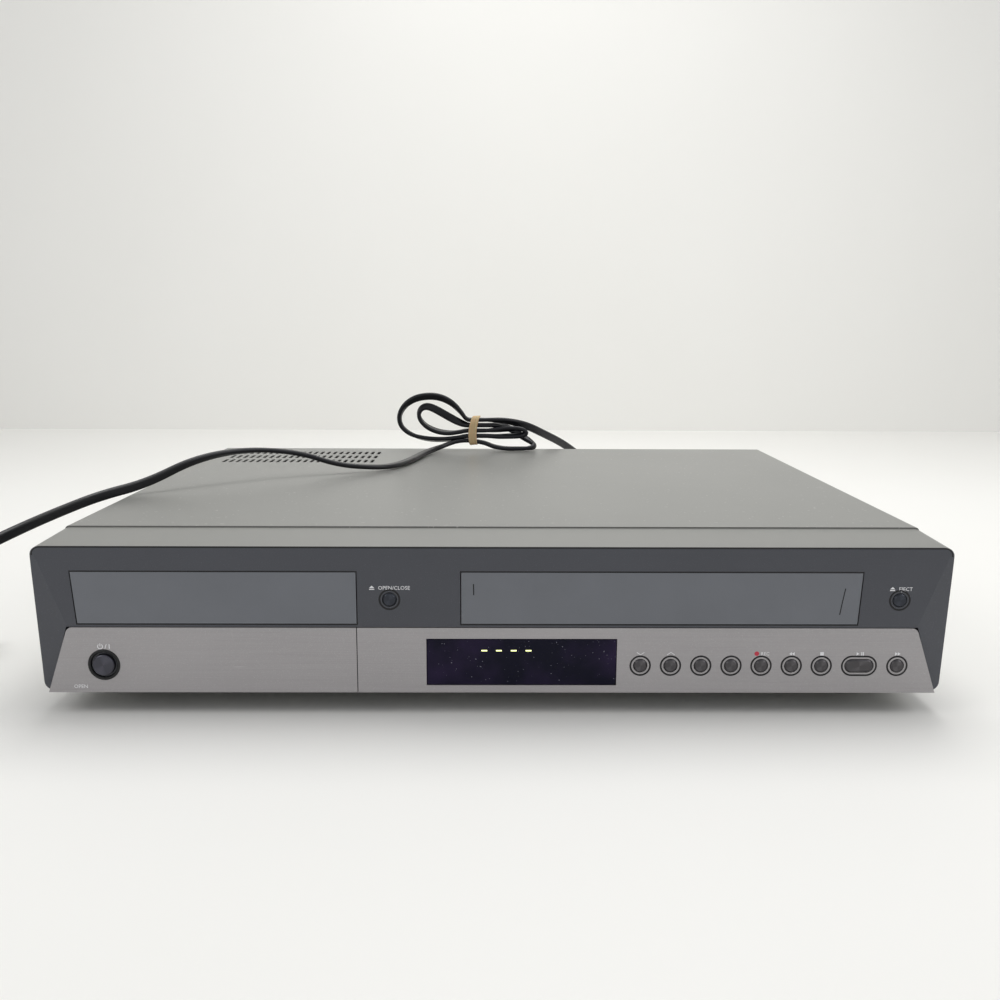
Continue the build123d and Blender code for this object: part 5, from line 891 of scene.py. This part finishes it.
@dataclass(frozen=True)
class MainsLead:
    """The flat two-core lead: out of its gland, tied in a hank behind the cover, across and off it."""

    width: float = 6.2 * MM
    thickness: float = 3.4 * MM
    sides: int = 16
    groove_depth: float = 0.16
    groove_spread: float = 2.5
    gland_x: float = 110.0
    gland_z: float = 30.0
    gland_end: float = 23.2
    hank_back: float = 323.0
    hank_z: float = 100.0
    hank_reach: float = 9.0
    hank_low: float = 85.0
    waist_x: tuple[float, ...] = (-3.0, -15.0, -21.0)
    strand: float = 4.2
    plug_x: float = -296.0
    plug_z: float = 7.5
    steep: float = 0.3
    hold: float = 0.75

    def stops(self, base: float, *rows: Sequence[float]) -> list[Stop]:
        """Give stops from rows of x, distance behind the base, z and roll if there is any."""
        return [Stop(x, base + back, z, *roll) for x, back, z, *roll in rows]

    def lead_route(self) -> list[Stop]:
        """Give the stops from the gland up behind the case to the hank.

        Returns:
            The stops.
        """
        behind = self.stops(
            (REAR_Y - FRONT_Y) / MM,
            (self.gland_x, self.gland_end, self.gland_z), (self.gland_x, 40, self.gland_z),
            (106, 57, 36), (96, 66, 49), (84, 62, 63, 30), (70, 46, 75, 60),
            (56, 28, 86, 80), (41, 10, 95, 80), (26, -4, 103.5, 60),
        )
        return behind + self.stops(self.hank_back, (10, -1, 108, 25))

    def waist(self, strand: int, leftward: bool) -> list[Stop]:
        """Give the stops of one strand through the band, counted up from the middle one."""
        z = self.hank_z + strand * self.strand
        return [Stop(x, self.hank_back, z) for x in (self.waist_x if leftward else self.waist_x[::-1])]

    def hank_route(self) -> list[Stop]:
        """Give the stops of the hank: a large loop, a close bight, a small loop and a low bight.

        Returns:
            The stops.
        """
        large = self.stops(
            self.hank_back, (-25, -1, 114.2, 20), (-31.5, -2, 121.3, 45), (-40.2, -2, 126, 60),
            (-50, -2, 127.2, 60), (-60.5, -2, 125.4, 45), (-69, -1, 120, 20), (-73.8, 0, 111.6),
            (-72.8, 1, 103.6), (-67.2, 1, 98), (-58.8, 1, 94.4, -20), (-48, 0, 92.8, -25),
            (-36.5, 0, 92.8, -20), (-28, 0, 94.4),
        )
        close = self.stops(
            self.hank_back, (3, -1, 95.4, 10), (15, -1, 95.8, 20), (23.4, -1.5, 96.4, 20),
            (26.8, -2, 98.9), (22.6, -2, 101.6, 20), (13, -2, 101.8, 35), (3, -1, 100.7, 20),
        )
        small = self.stops(
            self.hank_back, (-27, 0, 98.6), (-35, 0, 97.8, -15), (-43.5, 0, 99, -20),
            (-51.5, 0, 102.4, -10), (-56.8, 0, 107.4), (-58.6, 0, 112.6, 10), (-56.4, 0, 117.4, 35),
            (-51.6, 0, 119.2, 60), (-45, 0, 116.6, 80), (-36.4, 0, 111.6, 80), (-28, 0, 107, 45),
        )
        low = self.stops(
            self.hank_back, (3.5, 3, 104, 20), (10, 6.6, 102.2, 40), (17, 7, 98.8, 40),
            (24, 6, 94.2, 30), (30, 4, 90.6), (32.8, 0, 88), (28.6, -3, 86.4),
            (19, -3.5, 86.2), (9, -3, 86.2), (0, -1.5, 87.6), (-6, 0, 90.2),
        )
        return [
            *self.waist(2, True), *large, *self.waist(-1, False), *close, *self.waist(0, True), *small,
            *self.waist(1, False), *low,
        ]

    def run_route(self) -> list[Stop]:
        """Give the stops from the hank over the cover, off its left edge and down to the plug.

        Returns:
            The stops.
        """
        out_of_hank = self.stops(
            self.hank_back, (-15, 0, 91.8), (-22, 0, 92.4), (-30, -2, 91.6), (-38, -6, 88.8),
            (-45.5, -14, 86.9), (-52, -31, 86.3), (-56.5, -54, 86.2),
        )
        return out_of_hank + self.stops(
            0, (-61, 247, 86.2), (-69, 225, 86.3), (-80, 214, 86.9), (-104, 204, 90),
            (-127, 196, 99.5), (-156, 178, 104, 20), (-182, 153, 101.5, 60),
            (-205, 129, 89.6, 78), (-224, 108, 86.2, 78), (-233, 76, 83.4, 78),
            (-239, 42, 81, 78), (-248, 8, 76, 78), (-258, -16, 58, 60),
            (-266, -24, 32, 30), (-272, -14, 9.5), (-283, 8, 3.6),
            (self.plug_x, 34, self.plug_z), (self.plug_x, 52, self.plug_z),
        )

    def centreline(self, route: Sequence[Stop]) -> list[Vector]:
        """Read the lead's line from one smooth spline over the whole route.

        Args:
            route: The stops.

        Returns:
            The line's points in metres.
        """
        curve = bpy.data.curves.new("lead_line", "CURVE")
        curve.dimensions = "3D"
        curve.resolution_u = 8
        spline = curve.splines.new("NURBS")
        spline.points.add(len(route) - 1)
        for control, stop in zip(spline.points, route):
            control.co = (*millimetres(stop.x, stop.back, stop.z), 1.0)
        spline.order_u = 3
        spline.use_endpoint_u = True
        read = read_curve("lead_line", curve)
        line = [vertex.co.copy() for vertex in read.vertices]
        bpy.data.meshes.remove(read)
        return line

    def rolls(self, route: Sequence[Stop], count: int) -> list[float]:
        """Spread the stops' rolls over the points of the line.

        Args:
            route: The stops.
            count: How many points the line has.

        Returns:
            A roll in radians for each point.
        """
        rolls: list[float] = []
        for index in range(count):
            at = 0.5 + (len(route) - 2) * index / (count - 1)
            low = min(int(at), len(route) - 2)
            share = at - low
            rolls.append(math.radians(route[low].roll * (1 - share) + route[low + 1].roll * share))
        return rolls

    def section(self, here: Vector, across: Vector, other: Vector) -> list[Vector]:
        """Give the points round the flat section: two cores side by side with a groove between.

        Args:
            here: The section's middle.
            across: The way of its width.
            other: The way of its thickness.

        Returns:
            The points.
        """
        half_flat = (self.width - self.thickness) / 2
        points: list[Vector] = []
        for step in range(self.sides):
            turn = 2 * math.pi * step / self.sides
            shift = half_flat * (1 if math.cos(turn) >= 0 else -1)
            groove = 1.0 - self.groove_depth * max(0.0, 1.0 - abs(math.cos(turn)) * self.groove_spread)
            offset = across * (shift + self.thickness / 2 * math.cos(turn))
            points.append(here + offset + other * self.thickness / 2 * math.sin(turn) * groove)
        return points

    def build(self) -> None:
        """Sweep the flat section along the line, rolled as the photograph shows, and tie the hank."""
        route = self.lead_route() + self.hank_route() + self.run_route()
        line = self.centreline(route)
        rolls = self.rolls(route, len(line))
        sections: list[list[Vector]] = []
        across = Vector((1.0, 0.0, 0.0))
        for index, here in enumerate(line):
            along = (line[min(index + 1, len(line) - 1)] - line[max(index - 1, 0)]).normalized()
            beside = abs(here.y - FRONT_Y - self.hank_back * MM) < self.hank_reach * MM
            near_hank = beside and here.z > self.hank_low * MM
            aim = Vector((0.0, 1.0, 0.0)) if near_hank else along.cross(Vector((0.0, 0.0, 1.0)))
            aim = aim - along * aim.dot(along)
            across = (across - along * across.dot(along)).normalized()
            if aim.length > self.steep:
                aim = Matrix.Rotation(rolls[index], 3, along) @ aim.normalized()
                if aim.dot(across) < 0:
                    aim = -aim
                across = (across * self.hold + aim * (1 - self.hold)).normalized()
            sections.append(self.section(here, across, along.cross(across)))
        mesh = bmesh.new()
        sweep(mesh, sections)
        made = piece("mains_lead", mesh, "case", Finish.CORD)
        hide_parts("cord_lead", "cord_hank", "cord_run")
        band = Band(self.hank_back, self.hank_z, 2 * self.strand + 2.5).build()
        dress(("cord_plug", "cord_gland"), Finish.CORD.material())


@dataclass(frozen=True)
class Band:
    """The rubber band round the waist of the hank, in a few uneven turns. Sizes are millimetres."""

    back: float
    z: float
    half_height: float
    half_depth: float = 3.9
    x: float = -15.0
    spread: float = 5.2
    lean: float = 1.6
    bow: float = 0.9
    wander: float = 0.3
    swell: float = 0.035
    rise: float = 0.02
    half_width: float = 1.15
    half_thickness: float = 0.62
    turns: int = 4
    steps: int = 36
    sides: int = 8

    def centre(self, angle: float, share: float) -> Point:
        """Give a point on the band's middle line.

        Args:
            angle: How far round the hank, in radians.
            share: How far along the band, 0 to 1.

        Returns:
            The point in metres.
        """
        shape = (abs(math.cos(angle)) ** 3 + abs(math.sin(angle)) ** 3) ** (-1 / 3)
        swell = 1.0 + self.swell * math.sin(2.3 * angle + 1.0)
        lean = self.lean * math.sin(angle) - self.bow * math.cos(2 * angle)
        x = self.x - self.spread / 2 + self.spread * share + self.wander * math.sin(1.7 * angle) + lean
        y = self.back + self.half_depth * swell * shape * math.cos(angle)
        z = self.z + self.half_height * (1 + self.rise * math.cos(3.1 * angle)) * shape * math.sin(angle)
        return millimetres(x, y, z)

    def build(self) -> Object:
        """Wrap the band.

        Returns:
            The band's piece.
        """
        turns = [2 * math.pi * side / self.sides for side in range(self.sides)]
        sections: list[list[Vector]] = []
        for index in range(self.turns * self.steps + 1):
            angle = 2 * math.pi * index / self.steps
            centre = Vector(self.centre(angle, index / (self.turns * self.steps)))
            wide = Vector((self.half_width * MM, 0.0, 0.0))
            thick = Vector((0.0, math.cos(angle), math.sin(angle))) * self.half_thickness * MM
            sections.append([centre + wide * math.cos(turn) + thick * math.sin(turn) for turn in turns])
        mesh = bmesh.new()
        sweep(mesh, sections)
        band = piece("hank_band", mesh, "case", Finish.BAND)
        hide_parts("cord_tie")
        return band


# -------- case and front
Coats = tuple[tuple[Finish, tuple[str, ...]], ...]


@dataclass(frozen=True)
class Assembly:
    """A sub-assembly whose nodes only need their finishes."""

    coats: Coats = ()

    def build(self) -> None:
        """Dress the nodes."""
        for finish, nodes in self.coats:
            dress(nodes, finish.material())


@dataclass(frozen=True)
class Case(Assembly):
    """The sheet cover, the chassis and rear panel, the feet and the screws."""

    coats: Coats = (
        (Finish.COVER, ("top_cover",)),
        (Finish.PLATED, ("bottom_chassis", "rear_panel")),
        (Finish.FOOT, ("feet",)),
        (Finish.STEEL, ("case_screws",)),
    )


@dataclass(frozen=True)
class Front(Assembly):
    """The front moulding with its dark rim, the brushed lower plates, the printed signs and dark beads and
    plates of painted shade in its gaps.
    """

    coats: Coats = (
        (Finish.FRONT, ("front_panel",)),
        (Finish.SKIN, ("lower_panel", "jack_flap")),
        (Finish.DOOR, ("tray_door", "cassette_door")),
    )
    top_z: float = 81.8
    half: float = 214.2
    corner: float = 4.0
    rim_inset: float = 0.2
    rim_back: float = 0.35
    rim_bead: float = 0.45
    gap_out: float = 0.45
    gap_back: float = 0.35
    gap_bead: float = 0.5
    seam_out: float = 0.25
    seam_back: float = 0.3
    seam_bead: float = 0.4
    seam_z: tuple[float, ...] = (11.2, 20.0, 32.0)
    groove_width: float = 0.55
    slit_width: float = 0.5
    row_z: float = 30.4
    row_size: float = 0.85
    row: tuple[tuple[str, Mark, float], ...] = (
        ("down", Mark.DOWN, 69.6),
        ("up", Mark.UP, 84.0),
        ("rewind", Mark.REWIND, 141.5),
        ("stop", Mark.STOP, 155.8),
        ("play", Mark.PLAY, 173.8),
        ("forward", Mark.FORWARD, 191.9),
    )

    def build(self) -> None:
        """Dress the front, lay painted shade in its gaps and print its signs."""
        super().build()
        self.build_rim()
        self.build_gap_shade()
        self.build_signs()
        self.build_door_shade()

    def build_rim(self) -> None:
        """Run the thin dark line along the upper edge of the face and round its corners."""
        low = self.top_z - self.corner
        radius = self.corner - self.rim_inset
        left = ring_of((-self.half + self.corner, low), radius, 180, -90, 8)
        right = ring_of((self.half - self.corner, low), radius, 90, -90, 8)
        middle = [(x, self.top_z - self.rim_inset) for x in range(-200, 201, 40)]
        line = [millimetres(x, self.rim_back, z) for x, z in left + middle + right]
        tube("face_rim", line, self.rim_bead * MM, "case")

    def build_gap_shade(self) -> None:
        """Paint shade into the gaps round the two doors and along the seam of the lower plates, as dark
        beads.
        """
        for door, body in (("tray_door", "tray"), ("cassette_door", "case")):
            corners = front_corners(door)
            middle = (Vector(corners[0]) + Vector(corners[2])) / 2
            line: list[Point] = []
            for x, _, z in corners:
                out_x = math.copysign(self.gap_out, x - middle.x)
                out_z = math.copysign(self.gap_out, z - middle.z)
                line.append((x + out_x * MM, FRONT_Y + self.gap_back * MM, z + out_z * MM))
            # painted shade: a dark bead round each door stands for the shade in its gap
            tube(door + "_gap", line, self.gap_bead * MM, body, closed=True, sides=6)
        seam = Vector(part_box("jack_flap")[1]) / MM
        heights = (*self.seam_z, seam.z - self.seam_bead)
        line = [millimetres(seam.x + self.seam_out, self.seam_back, z) for z in heights]
        # painted shade: a dark bead stands for the shade in the seam
        tube("seam_line", line, self.seam_bead * MM, "case", sides=6)

    def build_signs(self) -> None:
        """Print the signs beside the keys."""
        print_mark("sign_power", Mark.POWER, -183.2, 33.6, 1.15, "jack_flap")
        print_mark("sign_tray_eject", Mark.EJECT, -57.0, 62.4, 1.0, "case")
        print_mark("sign_cassette_eject", Mark.EJECT, 187.0, 62.2, 1.0, "case")
        for name, mark, x in self.row:
            print_mark("sign_" + name, mark, x, self.row_z, self.row_size, "case")
        print_mark("sign_record", Mark.RECORD, 124.8, self.row_z, 0.75, "case", Finish.RED)
        print_word("word_tray", "OPEN/CLOSE", -46.6, 61.5, 1.7, "case")
        print_word("word_cassette", "EJECT", 193.2, 61.3, 1.7, "case")
        print_word("word_flap", "OPEN", -195.6, 13.0, 1.7, "jack_flap")
        print_word("word_record", "REC", 128.8, self.row_z - 0.8, 1.5, "case")

    def build_door_shade(self) -> None:
        """Lay dark plates as painted shade in the short groove and the slit at the ends of the cassette
        door.
        """
        for name, outline in (
            ("door_groove", stroke([(-9.4, 58.9), (-9.4, 61.4), (-9.5, 64.3)], self.groove_width)),
            ("door_slit", stroke([(162.9, 49.6), (163.8, 55.8), (164.9, 62.4)], self.slit_width)),
        ):
            # painted shade: thin dark plates on the door stand for the shade in the groove and the slit
            plates(name, [outline], -0.03, 0.05, "cassette_door", Finish.RIM)


@dataclass(frozen=True)
class Keys:
    """The push keys: spun faces with a painted highlight, each in a dark bead of painted shade."""

    row_z: float = 24.4
    small_z: float = 56.7
    row: tuple[tuple[str, float], ...] = (
        ("down_key", 69.6), ("up_key", 84.0), ("source_key", 98.4), ("speed_key", 112.8),
        ("record_key", 127.1), ("rewind_key", 141.5), ("stop_key", 155.8), ("play_key", 173.8),
        ("forward_key", 191.9),
    )
    upper: tuple[tuple[str, float], ...] = (("tray_key", -48.8), ("eject_key", 190.8))
    power_x: float = -184.0
    power_z: float = 24.6
    row_colour: Colour = from_screen(84, 82, 84)
    upper_colour: Colour = from_screen(58, 61, 68)
    power_colour: Colour = from_screen(76, 76, 84)
    bead: float = 0.6
    power_bead: float = 0.95
    bead_out: float = 0.8
    bead_back: float = 0.4

    def build(self) -> None:
        """Dress each key in metal spun about its own middle, with a painted highlight."""
        for name, x in self.row:
            self.spin(name, x, self.row_z, self.row_colour)
        for name, x in self.upper:
            self.spin(name, x, self.small_z, self.upper_colour)
        self.spin("power_key", self.power_x, self.power_z, self.power_colour)

    def spin(self, name: str, x: float, z: float, colour: Colour) -> None:
        """Give one key its spun finish with a painted highlight, and a dark bead of painted shade round it.

        Args:
            name: The key's node.
            x: The key's middle in millimetres.
            z: The key's height in millimetres.
            colour: The metal's colour.
        """
        # painted highlight: each key's material brightens in wedges about its own middle
        dress((name,), SpunMetal("spun_painted_highlight_" + name, colour, x * MM, z * MM).make())
        self.ring(name, "jack_flap" if name == "power_key" else "case")

    def ring(self, name: str, body: str) -> None:
        """Set a dark bead in the gap round a key, as painted shade.

        Args:
            name: The key's node.
            body: The body that carries the bead.
        """
        low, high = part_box(name)
        half = (high[2] - low[2]) / 2
        z = (high[2] + low[2]) / 2
        bead = (self.power_bead if name == "power_key" else self.bead) * MM
        reach = half + bead * self.bead_out
        left, right = low[0] + half, high[0] - half
        outline = ring_of((right, z), reach, -90, 180, 16) + ring_of((left, z), reach, 90, 180, 16)
        line = [(x, FRONT_Y + self.bead_back * MM, up) for x, up in outline]
        # painted shade: a dark bead stands for the shade in the gap round the key
        tube("ring_" + name, line, bead, body, closed=True, sides=8)


@dataclass(frozen=True)
class Display:
    """The smoked window with four lit dashes behind it, and the tube."""

    dash_x: tuple[float, ...] = (-4.4, 2.5, 9.5, 16.5)
    dash_z: float = 31.7
    dash_width: float = 2.7
    dash_height: float = 0.6

    def build(self) -> None:
        """Dress the window and the tube and light the dashes."""
        dress(("display_window",), Finish.WINDOW.material())
        dress(("display_tube",), Finish.TUBE.material())
        low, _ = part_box("display_window")
        front = (low[1] - FRONT_Y) / MM
        half, lift = self.dash_width / 2, self.dash_height / 2
        for number, x in enumerate(self.dash_x):
            corners = [(x + half * across, self.dash_z + lift * up) for across, up in SQUARE]
            plates(f"dash_{number}", [corners], front - 0.03, 0.02, "case", Finish.DASH)


@dataclass(frozen=True)
class DiscDrive(Assembly):
    """The disc loader: frame, tray, gear, traverse deck, turntable, pickup and clamp."""

    coats: Coats = (
        (Finish.BLACK, ("loader_frame", "disc_tray", "traverse_deck", "turntable", "clamp_puck")),
        (Finish.GREY, ("pickup_sled",)),
        (Finish.ACETAL, ("tray_gear",)),
        (Finish.TURNED, ("sled_rods",)),
        (Finish.PLATED, ("clamp_bridge",)),
    )


@dataclass(frozen=True)
class CassetteDeck(Assembly):
    """The cassette deck: plate, drum, reels, capstan, pinch roller, guides, carriage and holder."""

    coats: Coats = (
        (Finish.PLATED, ("deck_plate", "carriage_slide", "cassette_holder", "pinch_arm")),
        (Finish.TURNED, ("head_drum", "drum_base", "capstan_rotor")),
        (Finish.GREY, ("supply_reel", "takeup_reel")),
        (Finish.ACETAL, ("left_guide", "right_guide")),
        (Finish.FOOT, ("pinch_roller",)),
    )


@dataclass(frozen=True)
class Electronics(Assembly):
    """The boards, the power parts and the sockets."""

    coats: Coats = (
        (Finish.BOARD, ("main_board", "power_board", "key_board")),
        (Finish.TAPE, ("power_transformer",)),
        (Finish.TURNED, ("heat_sink",)),
        (Finish.PLATED, ("tuner_block",)),
        (Finish.BLACK, ("rear_jacks", "front_jacks")),
    )


def main() -> None:
    """Build the studio and each sub-assembly in order."""
    logging.basicConfig(level=logging.INFO, format="%(name)s: %(message)s")
    studio = Studio()
    studio.aim_camera()
    MainsLead().build()
    for assembly in (Case(), Front(), Keys(), Display(), DiscDrive(), CassetteDeck(), Electronics()):
        assembly.build()
    studio.build_room()
    studio.light()


if __name__ == "__main__":
    main()
